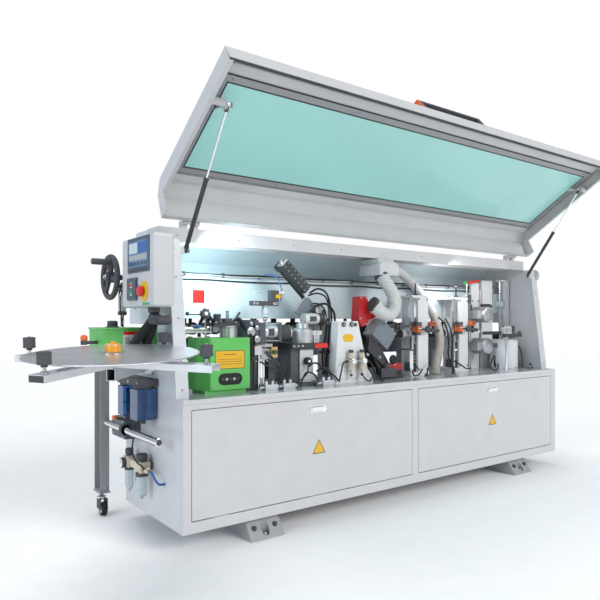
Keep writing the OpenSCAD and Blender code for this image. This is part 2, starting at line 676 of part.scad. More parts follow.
module caster_fork() color("silver") {
    cyl_z(7, -1625, 502, [100, 133]);
    cyl_z(22, -1625, 502, [92, 100]);
    for (s = [-1, 1]) box([-1625 + s * 19 - 2, -1625 + s * 19 + 2], [502 - 40, 502 + 22], [34, 92]);
    box([-1646, -1604], [480, 524], [88, 92]);
    cyl_x(4, [-1646, -1604], 480, 36);
}
module caster_wheel() color("black") difference() {
    cyl_x(36, [-1640, -1610], 480, 36);
    cyl_x(4 + run, [-1641, -1609], 480, 36);
}

// ---- lid ----

// The lid is drawn closed, and turned open about its hinge axis
module opened() translate([0, hinge_y, hinge_z]) rotate([-lid_open, 0, 0])
    translate([0, -hinge_y, -hinge_z]) children();
function along(s, depth = 0) = lid_skin[2] + s * lid_dir + depth * lid_in;

// Plates of the main face, given by their span along it and their depth behind it
module face_plate(s, depth, x) along_x([along(s[0], depth[0]), along(s[1], depth[0]),
    along(s[1], depth[1]), along(s[0], depth[1])], x);

lid_x = hx - skin_t - seam;
module lid_frame() color("whitesmoke") opened() {
    // Top flange, sloping corner, and the four strips round the window
    along_x([lid_skin[0], lid_skin[1] + [0.1, 0], lid_skin[1] + [1.6, -skin_t], lid_skin[0] + [0, -skin_t]],
        [-lid_x, lid_x]);
    along_x([lid_skin[1], lid_skin[2], along(0, skin_t), lid_skin[1] + [1.5, -skin_t]], [-lid_x, lid_x]);
    face_plate([seam, window_s0], [0, skin_t], [-lid_x, lid_x]);
    face_plate([window_s1, lid_len - skin_t - seam], [0, skin_t], [-lid_x, lid_x]);
    for (x = [[-lid_x, -window_x], [window_x, lid_x]])
        face_plate([window_s0 + seam, window_s1 - seam], [0, skin_t], x);
    // Return along the foot, and the rim at the hinges
    face_plate([lid_len - skin_t, lid_len], [0, 66], [-lid_x, lid_x]);
    along_x([[-95, 1562 - seam], [-92, 1562 - seam], [-92, 1540], [-95, 1540]], [-lid_x, lid_x]);
    for (s = [-1, 1]) {
        wall_x = s < 0 ? [-hx, -hx + skin_t] : [hx - skin_t, hx];
        along_x([[-91, 1565], [-216, 1552], [-277, 1493], [-197, 1492], [-95, 1492], [-91, 1540]], wall_x);
        along_x([[-277, 1493 - seam], [-370, 729], [-292, 727], [-197, 1492 - seam]], wall_x);
        // Rim turned inwards
        along_x([[-292, 727], [-197, 1492], [-200, 1492], [-295, 727]],
            s < 0 ? [-lid_x, -hx + 20] : [hx - 20, lid_x]);
        // Strut bracket on the side wall, with its pin
        translate([0, strut_closed[0], strut_closed[1]]) {
            box(s < 0 ? [-lid_x, -strut_x - 11] : [strut_x + 11, lid_x], [-14, 9], [-12, 12]);
            cyl_x(pin_r, s < 0 ? [-strut_x - 12, -strut_x + 14] : [strut_x - 14, strut_x + 12], 0, 0);
        }
        // Moving hinge leaf
        difference() {
            translate([s * hinge_x, 0, 0]) {
                cyl_x(9, [-15, 15], hinge_y, hinge_z);
                along_x([[-117, 1562.35], [-99, 1564.22], [-99, hinge_z + 6], [-117, hinge_z + 6]],
                    [-15, 15]);
            }
            cyl_x(pin_r + run, [s * hinge_x - 16, s * hinge_x + 16], hinge_y, hinge_z);
        }
    }
}
function turned(p, a) = let (d = p - [hinge_y, hinge_z])
    [hinge_y, hinge_z] + [d[0] * cos(a) - d[1] * sin(a), d[0] * sin(a) + d[1] * cos(a)];
strut_closed = turned(strut_top, lid_open);

module lid_window() color([0.6, 0.85, 0.8]) opened() face_plate([window_s0 - 30, window_s1 + 30],
    [skin_t + seam, 9], [-window_x - 30, window_x + 30]);

handle_x = [-330, 180];
handle_rise = 78;
module lid_handle() color([0.12, 0.12, 0.14]) opened() difference() {
    along_x([along(690, 0), along(718, -handle_rise), along(752, -handle_rise), along(764, 0)], handle_x);
    face_plate([680, 775], [1, -handle_rise + 16], handle_x + [24, -24]);
}

// ---- struts ----

module strut_tube(s) color([0.1, 0.1, 0.11]) translate([s * strut_x, strut_foot[0], strut_foot[1]])
    rotate([strut_tilt, 0, 0]) difference() {
        union() {
            cyl_y(11, 0, [14, tube_len], 0);
            cyl_x(11, [-7, 7], 0, 0);
            box([-5, 5], [4, 16], [-6, 6]);
        }
        cyl_x(pin_r + run, [-8, 8], 0, 0);
        cyl_y(5 + run, 0, [20, tube_len + 1], 0);
    }
module strut_rod(s) color("silver") translate([s * strut_x, strut_foot[0], strut_foot[1]])
    rotate([strut_tilt, 0, 0]) difference() {
        union() {
            cyl_y(5, 0, [tube_len - 90, strut_len - 10], 0);
            cyl_x(11, [-7, 7], strut_len, 0);
        }
        cyl_x(pin_r + 0.1, [-8, 8], strut_len, 0);
    }
module strut_tube_left() strut_tube(-1);
module strut_rod_left() strut_rod(-1);
module strut_tube_right() strut_tube(1);
module strut_rod_right() strut_rod(1);

// ---- doors ----

hinge_r = 3;
module door(d, lx) color("whitesmoke") {
    // Face plate with a rolled hinge edge, the latch bezel and the latch cup
    difference() {
        union() {
            box(d, [-hy, -hy + 3], [door_axis_z, door_z[1]]);
            cyl_x(hinge_r, d, door_axis_y, door_axis_z);
            box([lx - 64, lx + 64], [-hy + 2, -hy + 12], [latch_z - 22, latch_z + 22]);
            stadium_y(lx, [-hy - 2, -hy + 1], latch_z, 122, 38);
        }
        stadium_y(lx, [-hy - 3, -hy + 8], latch_z, 112, 28);
    }
    // Folded rims behind the face
    box(d, [door_axis_y + hinge_r + seam, -hy + door_t], [door_z[0], door_z[0] + 3]);
    box(d, [-hy + 3 + seam, -hy + door_t], [door_z[1] - 3, door_z[1]]);
    for (x = [[d[0], d[0] + 3], [d[1] - 3, d[1]]])
        box(x, [-hy + 3 + seam, -hy + door_t], [door_axis_z + hinge_r + seam, door_z[1] - 3 - seam]);
}
module door_left() door(door_x[0], latch_x[0]);
module door_right() door(door_x[1], latch_x[1]);
latch_pin_r = 2;
module latch(lx) color("silver") {
    difference() {
        stadium_y(lx, [-hy - 4, -hy + 1], latch_z, 108, 24);
        box([lx - 40, lx + 40], [-hy - 5, -hy + 2], [latch_z + 10, latch_z + 13]);
    }
    cyl_x(latch_pin_r, [lx - 40, lx + 40], -hy - 2, latch_z + 10);
}
module latch_left() latch(latch_x[0]);
module latch_right() latch(latch_x[1]);

// ---- drawing ----

base_cabinet();
floor_feet();
end_panel_left();
end_panel_right();
top_beam();
rear_cover();
track_beam();
feed_chain();
beam_columns();
glue_box();
glue_pot();
tape_feeder();
press_unit();
end_cut_rail();
tracking_casting();
air_valves();
trim_unit();
dust_hoses();
gantry_left();
gantry_right();
buff_unit();
control_box();
touch_screen();
cutter_box();
duct_pipe();
turntable_arms();
spray_bottles();
air_service();
feed_motor();
slide_sleeve();
lid_frame();
lid_window();
lid_handle();
strut_tube_left();
strut_rod_left();
strut_tube_right();
strut_rod_right();
door_left();
door_right();
latch_left();
latch_right();
turntable_disc();
guide_roller_1();
guide_roller_2();
guide_roller_3();
guide_roller_4();
pressure_beam();
pinch_rollers();
handwheel();
estop_button();
start_button();
stop_button();
trim_saw();
gantry_head_left();
gantry_head_right();
buff_wheel_top();
buff_wheel_low();
support_leg();
caster_fork();
caster_wheel();
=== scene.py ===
import json
import math
import bpy
from mathutils import Matrix, Vector


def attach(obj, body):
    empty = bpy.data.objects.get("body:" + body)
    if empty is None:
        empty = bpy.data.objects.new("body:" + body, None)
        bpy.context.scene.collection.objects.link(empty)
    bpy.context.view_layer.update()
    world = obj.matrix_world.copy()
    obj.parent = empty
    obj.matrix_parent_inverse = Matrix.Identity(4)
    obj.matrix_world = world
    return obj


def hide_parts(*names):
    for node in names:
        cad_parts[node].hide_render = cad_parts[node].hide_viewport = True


# The edge banding machine's looks. Sizes here are in millimetres; MM turns them into Blender's metres.
MM = 0.001
UP, DOWN = (0, 0, 1), (0, 0, -1)
FRONT, BACK = (0, -1, 0), (0, 1, 0)
LEFT, RIGHT = (-1, 0, 0), (1, 0, 0)
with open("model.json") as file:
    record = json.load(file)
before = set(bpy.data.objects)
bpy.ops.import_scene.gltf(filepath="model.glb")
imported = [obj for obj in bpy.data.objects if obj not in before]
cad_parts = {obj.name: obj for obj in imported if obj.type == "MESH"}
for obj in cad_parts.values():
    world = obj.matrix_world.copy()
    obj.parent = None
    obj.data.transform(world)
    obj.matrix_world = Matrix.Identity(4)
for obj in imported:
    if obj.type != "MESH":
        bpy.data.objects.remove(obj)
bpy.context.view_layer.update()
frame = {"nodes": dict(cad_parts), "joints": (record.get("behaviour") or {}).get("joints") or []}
joints = {j["name"]: j for j in frame["joints"]}

# ---- camera, light and floor ----

EYE = (-2.7716, -2.9155, 1.0891)
HEADING = math.radians(-36.574)


def set_camera():
    camera = bpy.data.objects.new("camera", bpy.data.cameras.new("camera"))
    camera.location = EYE
    camera.rotation_euler = (math.radians(90), 0, HEADING)
    camera.data.lens = 36.54
    camera.data.sensor_width = 36
    camera.data.shift_y = 0.034
    bpy.context.scene.collection.objects.link(camera)
    bpy.context.scene.camera = camera


def aimed(name, light, place, aim):
    lamp = bpy.data.objects.new(name, light)
    lamp.location = place
    lamp.rotation_euler = (Vector(aim) - Vector(place)).to_track_quat("-Z", "Y").to_euler()
    bpy.context.scene.collection.objects.link(lamp)


def area_light(name, place, aim, size, power, colour=(1, 1, 1)):
    light = bpy.data.lights.new(name, "AREA")
    light.shape = "DISK"
    light.size = size
    light.energy = power
    light.color = colour
    aimed(name, light, place, aim)


def sun_light(name, toward, strength, spread, colour=(1, 1, 1)):
    light = bpy.data.lights.new(name, "SUN")
    light.energy = strength
    light.angle = math.radians(spread)
    light.color = colour
    aimed(name, light, toward, (0, 0, 0))


def set_studio():
    """A white surround that lights the machine less brightly than it looks, and two broad soft lights."""
    world = bpy.data.worlds.new("studio")
    world.use_nodes = True
    nodes = world.node_tree.nodes
    link = world.node_tree.links.new
    seen = nodes["Background"]
    seen.inputs["Color"].default_value = (1, 1, 1, 1)
    shed = nodes.new("ShaderNodeBackground")
    shed.inputs["Color"].default_value = (0.88, 0.94, 1.0, 1)
    shed.inputs["Strength"].default_value = 0.42
    path = nodes.new("ShaderNodeLightPath")
    both = nodes.new("ShaderNodeMixShader")
    link(path.outputs["Is Camera Ray"], both.inputs[0])
    link(shed.outputs[0], both.inputs[1])
    link(seen.outputs[0], both.inputs[2])
    link(both.outputs[0], nodes["World Output"].inputs["Surface"])
    bpy.context.scene.world = world
    bpy.context.scene.view_settings.view_transform = "Standard"
    sun_light("key", (0.30, -0.84, 0.50), 1.6, 24, (1.0, 0.985, 0.965))
    sun_light("top", (-0.10, 0.15, 0.97), 1.25, 40)
    sun_light("side", (-0.90, -0.12, 0.28), 1.3, 36, (0.72, 0.86, 1.0))
    area_light("inside", (-1.25, -0.17, 1.40), (-1.0, 0.30, 1.24), 0.2, 3.2, (0.70, 0.93, 1.0))
    area_light("right bay", (0.60, -0.14, 1.42), (0.95, 0.20, 1.0), 0.16, 1.4)


def set_floor():
    mesh = bpy.data.meshes.new("floor")
    half = 14
    corners = [(-half, -half, 0), (half, -half, 0), (half, half, 0), (-half, half, 0)]
    mesh.from_pydata(corners, [], [(0, 1, 2, 3)])
    floor = bpy.data.objects.new("floor", mesh)
    bpy.context.scene.collection.objects.link(floor)
    mesh.materials.append(material("studio_floor", (0.93, 0.93, 0.93), rough=0.8, fleck=0.02, grain=0.02))


# ---- materials ----


def material(name, colour, rough=0.4, metal=0.0, fleck=0.06, grain=0.05, scale=9.0, grain_scale=900.0,
             edge=0.0, edge_colour=(0.6, 0.6, 0.6), coat=0.0, dirt=0.0, bands=None, through=0.0,
             sheen=0.0):
    """A procedural finish: mottled colour and roughness, a fine bump, edges in edge_colour as wear and as a
    painted highlight, dust on upward faces.
    """
    if name in bpy.data.materials:
        return bpy.data.materials[name]
    made = bpy.data.materials.new(name)
    made.use_nodes = True
    made.diffuse_color = (*colour, 1)
    tree = made.node_tree
    shader = tree.nodes["Principled BSDF"]
    new = tree.nodes.new
    link = tree.links.new
    place = new("ShaderNodeTexCoord")

    def noise(size, detail=4.0):
        node = new("ShaderNodeTexNoise")
        node.inputs["Scale"].default_value = size
        node.inputs["Detail"].default_value = detail
        link(place.outputs["Object"], node.inputs["Vector"])
        return node.outputs["Fac"]

    def span(source, low, high, start=0.3, end=0.7):
        node = new("ShaderNodeMapRange")
        node.inputs["From Min"].default_value = start
        node.inputs["From Max"].default_value = end
        node.inputs["To Min"].default_value = low
        node.inputs["To Max"].default_value = high
        link(source, node.inputs["Value"])
        return node.outputs["Result"]

    def mix(share, first, second):
        node = new("ShaderNodeMix")
        node.data_type = "RGBA"
        for socket, value in ((0, share), (6, first), (7, second)):
            if isinstance(value, (tuple, float, int)):
                node.inputs[socket].default_value = value
            else:
                link(value, node.inputs[socket])
        return node.outputs[2]

    dark = tuple(c * (1 - fleck) for c in colour)
    light = tuple(min(1.0, c * (1 + fleck * 0.5)) for c in colour)
    tint = mix(span(noise(scale), 0, 1), (*dark, 1), (*light, 1))
    if dirt > 0:
        facing = new("ShaderNodeNewGeometry")
        part = new("ShaderNodeSeparateXYZ")
        link(facing.outputs["Normal"], part.inputs[0])
        dust = new("ShaderNodeMath")
        dust.operation = "MULTIPLY"
        link(span(part.outputs[2], 0, dirt, 0.3, 1.0), dust.inputs[0])
        link(span(noise(scale * 4), 0.2, 1), dust.inputs[1])
        tint = mix(dust.outputs[0], tint, (0.50, 0.47, 0.42, 1))
    bevel = None
    # Edges take edge_colour: partly wear, partly a painted highlight along every edge.
    if edge > 0:
        bevel = new("ShaderNodeBevel")
        bevel.samples = 3
        bevel.inputs["Radius"].default_value = 2.5 * MM
        flat = new("ShaderNodeNewGeometry")
        dot = new("ShaderNodeVectorMath")
        dot.operation = "DOT_PRODUCT"
        link(bevel.outputs[0], dot.inputs[0])
        link(flat.outputs["Normal"], dot.inputs[1])
        edge_wear_and_highlight = new("ShaderNodeMath")
        edge_wear_and_highlight.operation = "MULTIPLY"
        link(span(dot.outputs["Value"], edge, 0, 0.80, 0.97), edge_wear_and_highlight.inputs[0])
        link(span(noise(scale * 7), 0.1, 1, 0.4, 0.6), edge_wear_and_highlight.inputs[1])
        tint = mix(edge_wear_and_highlight.outputs[0], tint, (*edge_colour, 1))
    if bands:
        size, axis, strength, groove = bands
        wave = new("ShaderNodeTexWave")
        wave.bands_direction = axis if axis in "XYZ" else "X"
        if axis == "rings":
            wave.wave_type = "RINGS"
            wave.rings_direction = "Z"
        wave.inputs["Scale"].default_value = size
        wave.inputs["Distortion"].default_value = 0.4
        link(place.outputs["Object"], wave.inputs["Vector"])
        tint = mix(span(wave.outputs["Fac"], 0, strength, 0, 0.4), tint, (*groove, 1))
    link(tint, shader.inputs["Base Color"])
    link(span(noise(scale * 2.3), rough * 0.86, min(1.0, rough * 1.16)), shader.inputs["Roughness"])
    shader.inputs["Metallic"].default_value = metal
    shader.inputs["Coat Weight"].default_value = coat
    shader.inputs["Coat Roughness"].default_value = 0.12
    shader.inputs["Sheen Weight"].default_value = sheen
    shader.inputs["Transmission Weight"].default_value = through
    bump = new("ShaderNodeBump")
    bump.inputs["Strength"].default_value = grain
    bump.inputs["Distance"].default_value = 0.3 * MM
    link(noise(grain_scale, 2.0), bump.inputs["Height"])
    if bevel:
        link(bevel.outputs[0], bump.inputs["Normal"])
    link(bump.outputs[0], shader.inputs["Normal"])
    return made


OFF_WHITE = dict(colour=(0.585, 0.58, 0.59), rough=0.36, coat=0.15, edge=0.25, edge_colour=(0.75, 0.75, 0.75),
                 fleck=0.035, grain=0.09, grain_scale=700, dirt=0.05)
FINISHES = {
    "cabinet_paint": OFF_WHITE,
    # Painted cool light: the left end panel takes the cabinet paint, lighter and tinted blue for the cool
    # light on that side.
    "painted_cool_light_paint": dict(OFF_WHITE, colour=(0.63, 0.66, 0.70)),
    "grey_paint": dict(OFF_WHITE, colour=(0.33, 0.335, 0.345), dirt=0.1),
    "slate_paint": dict(colour=(0.17, 0.20, 0.235), rough=0.4, coat=0.1, edge=0.4, fleck=0.1, grain=0.12,
                        dirt=0.08),
    "dark_grey_paint": dict(colour=(0.075, 0.09, 0.105), rough=0.42, edge=0.35, fleck=0.1, grain=0.1,
                            dirt=0.1),
    # Painted cool light: the blue-green tint of this paint on the rear cover and pressure beam stands for the
    # cool light inside the machine.
    "back_paint": dict(OFF_WHITE, colour=(0.60, 0.69, 0.72), fleck=0.05),
    "pure_white": dict(OFF_WHITE, colour=(0.72, 0.725, 0.735), rough=0.32),
    "green": dict(colour=(0.12, 0.52, 0.11), rough=0.34, coat=0.2, edge=0.4, edge_colour=(0.3, 0.62, 0.28),
                  fleck=0.08, grain=0.12, grain_scale=600, dirt=0.1),
    "red": dict(colour=(0.50, 0.012, 0.016), rough=0.38, coat=0.15, edge=0.4, edge_colour=(0.7, 0.25, 0.22),
                fleck=0.1, dirt=0.12),
    "signal_red": dict(colour=(0.72, 0.02, 0.015), rough=0.28, coat=0.4, fleck=0.04),
    "signal_green": dict(colour=(0.03, 0.42, 0.10), rough=0.3, coat=0.4, fleck=0.04),
    "signal_yellow": dict(colour=(0.78, 0.44, 0.012), rough=0.4, coat=0.1, fleck=0.04),
    "amber": dict(colour=(0.85, 0.36, 0.02), rough=0.36, coat=0.2, fleck=0.05),
    "orange": dict(colour=(0.80, 0.13, 0.012), rough=0.36, coat=0.2, fleck=0.06),
    "label_white": dict(colour=(0.76, 0.76, 0.75), rough=0.5, fleck=0.02, grain=0.02),
    "beige": dict(colour=(0.58, 0.51, 0.40), rough=0.5, fleck=0.06, grain=0.15, grain_scale=500, dirt=0.1),
    "aluminium": dict(colour=(0.70, 0.71, 0.73), rough=0.33, metal=0.9, fleck=0.08, grain=0.08, edge=0.4,
                      edge_colour=(0.9, 0.9, 0.92), dirt=0.06),
    "cast_aluminium": dict(colour=(0.62, 0.63, 0.64), rough=0.52, metal=0.75, fleck=0.12, grain=0.45,
                           grain_scale=350, edge=0.4, edge_colour=(0.85, 0.85, 0.86), dirt=0.12),
    "steel": dict(colour=(0.50, 0.51, 0.53), rough=0.34, metal=0.92, fleck=0.14, grain=0.1, edge=0.4,
                  edge_colour=(0.8, 0.8, 0.82), dirt=0.1),
    "chrome": dict(colour=(0.82, 0.83, 0.85), rough=0.09, metal=1.0, fleck=0.03, grain=0.01),
    "brass": dict(colour=(0.72, 0.52, 0.22), rough=0.28, metal=1.0, fleck=0.08),
    "disc_steel": dict(colour=(0.62, 0.65, 0.72), rough=0.3, metal=0.6, fleck=0.07, grain=0.03, coat=0.2,
                       bands=(60, "rings", 0.10, (0.4, 0.41, 0.42))),
    "black_plastic": dict(colour=(0.013, 0.013, 0.015), rough=0.42, fleck=0.2, grain=0.25, grain_scale=420),
    "black_enamel": dict(colour=(0.009, 0.009, 0.011), rough=0.28, coat=0.1, fleck=0.15, edge=0.3,
                         edge_colour=(0.2, 0.2, 0.21)),
    "rubber": dict(colour=(0.010, 0.010, 0.011), rough=0.68, fleck=0.25, grain=0.35, grain_scale=500,
                   dirt=0.12),
    "screen_bezel": dict(colour=(0.05, 0.085, 0.13), rough=0.3, coat=0.4, fleck=0.06),
    "screen_glass": dict(colour=(0.10, 0.22, 0.38), rough=0.14, coat=0.5, fleck=0.05, grain=0.01),
    "grey_hose": dict(colour=(0.80, 0.80, 0.81), rough=0.42, fleck=0.08, grain=0.15, through=0.12),
    "duct_shell": dict(colour=(0.78, 0.79, 0.80), rough=0.3, fleck=0.05, through=0.25, coat=0.2),
    "brown_hose": dict(colour=(0.50, 0.45, 0.41), rough=0.55, fleck=0.1, grain=0.2),
    "cable_black": dict(colour=(0.010, 0.011, 0.014), rough=0.5, fleck=0.15),
    "cable_grey": dict(colour=(0.40, 0.41, 0.42), rough=0.5, fleck=0.1),
    "air_blue": dict(colour=(0.03, 0.12, 0.40), rough=0.32, coat=0.3, fleck=0.05),
    "bottle_blue": dict(colour=(0.05, 0.16, 0.42), rough=0.1, coat=0.3, fleck=0.08, through=0.75),
    "bowl_clear": dict(colour=(0.72, 0.80, 0.84), rough=0.1, coat=0.4, fleck=0.02, through=0.6),
    "window_mint": dict(colour=(0.42, 0.80, 0.74), rough=0.22, coat=0.25, fleck=0.03, grain=0.01, scale=1.6),
    "gasket": dict(colour=(0.05, 0.055, 0.055), rough=0.6, fleck=0.2, grain=0.2),
    "mop": dict(colour=(0.78, 0.70, 0.55), rough=0.95, fleck=0.16, grain=0.9, grain_scale=260, sheen=0.5,
                bands=(28, "rings", 0.35, (0.5, 0.42, 0.3))),
    # Painted shade: a dark olive-grey for the shadowed insides of the lid's side walls.
    "lid_painted_shade": dict(colour=(0.34, 0.355, 0.33), rough=0.5, fleck=0.06, grain=0.1),
}


def finish_named(name):
    return material(name, **FINISHES[name])


CAD_FINISHES = {
    "cabinet_paint": ["base_cabinet", "end_panel_right", "lid_frame", "door_left", "door_right", "top_beam"],
    "painted_cool_light_paint": ["end_panel_left"],
    "grey_paint": ["floor_feet", "support_leg"],
    "dark_grey_paint": ["slide_sleeve", "feed_motor", "track_beam"],
    "back_paint": ["rear_cover", "pressure_beam"],
    "pure_white": ["tracking_casting", "gantry_left", "gantry_right", "gantry_head_left", "gantry_head_right",
                   "beam_columns"],
    "green": ["glue_box", "cutter_box"],
    "red": ["trim_unit"],
    "aluminium": ["turntable_arms"],
    "cast_aluminium": ["press_unit", "glue_pot", "buff_unit", "trim_saw"],
    "steel": ["tape_feeder"],
    "chrome": ["strut_rod_left", "strut_rod_right", "latch_left", "latch_right"],
    "disc_steel": ["turntable_disc"],
    "beige": ["air_valves", "air_service"],
    "black_plastic": ["handwheel", "lid_handle", "caster_fork", "guide_roller_1", "guide_roller_2",
                      "guide_roller_3", "guide_roller_4"],
    "black_enamel": ["strut_tube_left", "strut_tube_right", "end_cut_rail"],
    "rubber": ["feed_chain", "pinch_rollers", "caster_wheel"],
    "window_mint": ["lid_window"],
    "signal_red": ["estop_button", "stop_button"],
    "signal_green": ["start_button"],
}


def dress_cad():
    """Each CAD node that stays takes its finish."""
    for name, nodes in CAD_FINISHES.items():
        for node in nodes:
            item = frame["nodes"][node]
            item.data.materials.clear()
            item.data.materials.append(finish_named(name))


# ---- shapes ----

# A turned shape comes to a tip of this radius, so that no two of its points meet
SHARP_TIP = 0.02


class Piece:
    """One Blender object, put together from simple closed shapes, each with its own finish."""

    def __init__(self, name, body="machine"):
        self.name = name
        self.body = body
        self.points = []
        self.faces = []
        self.finish = []
        self.names = []
        self.frame = Matrix.Identity(4)

    def at(self, matrix):
        """The shapes that follow are placed in this frame."""
        self.frame = matrix
        return self

    def add(self, points, faces, finish):
        start = len(self.points)
        if finish not in self.names:
            self.names.append(finish)
        self.points += [self.frame @ Vector(p) for p in points]
        self.faces += [[start + i for i in f] for f in faces]
        self.finish += [self.names.index(finish)] * len(faces)
        return self

    def box(self, x, y, z, finish):
        points = [(a, b, c) for c in z for b in y for a in x]
        faces = [(0, 2, 3, 1), (4, 5, 7, 6), (0, 1, 5, 4), (2, 6, 7, 3), (0, 4, 6, 2), (1, 3, 7, 5)]
        return self.add(points, faces, finish)

    def boxes(self, finish, *spans):
        for x, y, z in spans:
            self.box(x, y, z, finish)
        return self

    def prism(self, outline, low, high, finish, plane="xy"):
        """outline runs anticlockwise seen from the end of the extrusion axis."""
        order = {"xy": (0, 1, 2), "xz": (0, 2, 1), "yz": (2, 0, 1)}[plane]
        n = len(outline)
        points = [[(a, b, c)[i] for i in order] for c in (low, high) for a, b in outline]
        faces = [tuple(reversed(range(n))), tuple(range(n, 2 * n))]
        faces += [(i, (i + 1) % n, n + (i + 1) % n, n + i) for i in range(n)]
        if plane == "xz":
            faces = [tuple(reversed(f)) for f in faces]
        return self.add(points, faces, finish)

    def lathe(self, base, axis, profile, finish, sides=32):
        """A turned shape: profile is a list of (radius, height along axis) from one end to the other."""
        up = Vector(axis).normalized()
        side = up.orthogonal().normalized()
        other = up.cross(side)
        points = []
        for r, h in profile:
            points += circle(Vector(base) + up * h, side, other, max(r, SHARP_TIP), sides)
        return self.add(points, sleeve(len(profile), sides), finish)

    def rod(self, start, end, r, finish, sides=24):
        length = (Vector(end) - Vector(start)).length
        return self.lathe(start, Vector(end) - Vector(start), [(r, 0), (r, length)], finish, sides)

    def bolt(self, place, axis, r, finish="steel"):
        """A hexagon head on a washer."""
        self.lathe(place, axis, [(r * 1.15, 0), (r * 1.15, r * 0.2)], finish, 20)
        return self.lathe(place, axis, [(r, 0), (r, r * 0.8), (r * 0.86, r * 0.9)], finish, 6)

    def screw(self, place, axis, r, finish="steel"):
        """A domed cap screw; its socket is a dark hexagon, painted shade for the hole."""
        self.lathe(place, axis, [(r, 0), (r, r * 0.45), (r * 0.82, r * 0.7), (r * 0.5, r * 0.74)], finish, 18)
        return self.lathe(place, axis, [(r * 0.42, r * 0.7), (r * 0.42, r * 0.78)], "gasket", 6)

    def tube(self, route, r, finish, sides=14, rib=0.0, pitch=10.0, smooth=6):
        """A pipe or cable along a smooth route. rib is the height of its rings, and pitch their spacing."""
        path = smoothed([Vector(p) for p in route], smooth)
        if rib > 0:
            path = respaced(path, pitch / 4)
        rings = []
        side = None
        for i, p in enumerate(path):
            ahead = (path[min(i + 1, len(path) - 1)] - path[max(i - 1, 0)]).normalized()
            side = ahead.orthogonal() if side is None else side - ahead * side.dot(ahead)
            side.normalize()
            other = ahead.cross(side)
            groove = rib if i % 4 < 2 else 0
            rings += circle(p, side, other, r - groove, sides)
        return self.add(rings, sleeve(len(path), sides), finish)

    def done(self, bevel=1.2, replaces=(), slot=None, segments=2):
        mesh = bpy.data.meshes.new(self.name)
        mesh.from_pydata([p * MM for p in self.points], [], self.faces)
        for name in self.names:
            mesh.materials.append(finish_named(name))
        mesh.polygons.foreach_set("material_index", self.finish)
        mesh.validate()
        mesh.shade_smooth()
        mesh.set_sharp_from_angle(angle=math.radians(38))
        item = bpy.data.objects.new(self.name, mesh)
        bpy.context.scene.collection.objects.link(item)
        if bevel > 0:
            soften(item, bevel, segments)
        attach(item, self.body)
        if replaces:
            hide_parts(*replaces)
        return item


def circle(centre, side, other, r, sides):
    """Points round a centre, in the plane of two unit vectors."""
    turns = [2 * math.pi * k / sides for k in range(sides)]
    return [centre + side * (r * math.cos(turn)) + other * (r * math.sin(turn)) for turn in turns]


def sleeve(rings, sides):
    """The faces of a closed skin through this many rings of points."""
    faces = [tuple(reversed(range(sides)))]
    for start in range(0, (rings - 1) * sides, sides):
        for k in range(sides):
            a, b = start + k, start + (k + 1) % sides
            faces.append((a, b, b + sides, a + sides))
    faces.append(tuple(range((rings - 1) * sides, rings * sides)))
    return faces


def soften(item, width, segments=2):
    bevel = item.modifiers.new("broken_edges", "BEVEL")
    bevel.width = width * MM
    bevel.segments = segments
    bevel.limit_method = "ANGLE"
    bevel.angle_limit = math.radians(40)
    bevel.harden_normals = True


def smoothed(route, steps):
    """Points of a curve that runs through every point of route."""
    if steps < 2 or len(route) < 3:
        return route
    made = []
    last = len(route) - 1
    for i in range(last):
        a, b, c, d = route[max(i - 1, 0)], route[i], route[i + 1], route[min(i + 2, last)]
        for k in range(steps):
            t = k / steps
            made.append(0.5 * (2 * b + (c - a) * t + (2 * a - 5 * b + 4 * c - d) * t ** 2
                               + (3 * b - a - 3 * c + d) * t ** 3))
    return made + [route[-1]]


def respaced(path, gap):
    """The same path with points a fixed gap apart."""
    made = [path[0]]
    spare = 0.0
    for a, b in zip(path, path[1:]):
        length = (b - a).length
        travel = gap - spare
        while travel <= length:
            made.append(a.lerp(b, travel / length))
            travel += gap
        spare = length - (travel - gap)
    return made


def turned(axis, angle, centre):
    """A turn of angle degrees about an axis through centre, in millimetres."""
    shift = Matrix.Translation(centre)
    return shift @ Matrix.Rotation(math.radians(angle), 4, axis) @ shift.inverted()


def paint(node, name, x=(-9e3, 9e3), y=(-9e3, 9e3), z=(-9e3, 9e3)):
    """The faces of a CAD node whose centres lie in this box take another finish."""
    mesh = frame["nodes"][node].data
    mesh.materials.append(finish_named(name))
    index = len(mesh.materials) - 1
    for face in mesh.polygons:
        if all(lo <= c / MM <= hi for c, (lo, hi) in zip(face.center, (x, y, z))):
            face.material_index = index


# ---- cabinet ----

CABINET_X = 1540
CABINET_Y = 355
DECK_Z = 720
FOOT_X = 1088


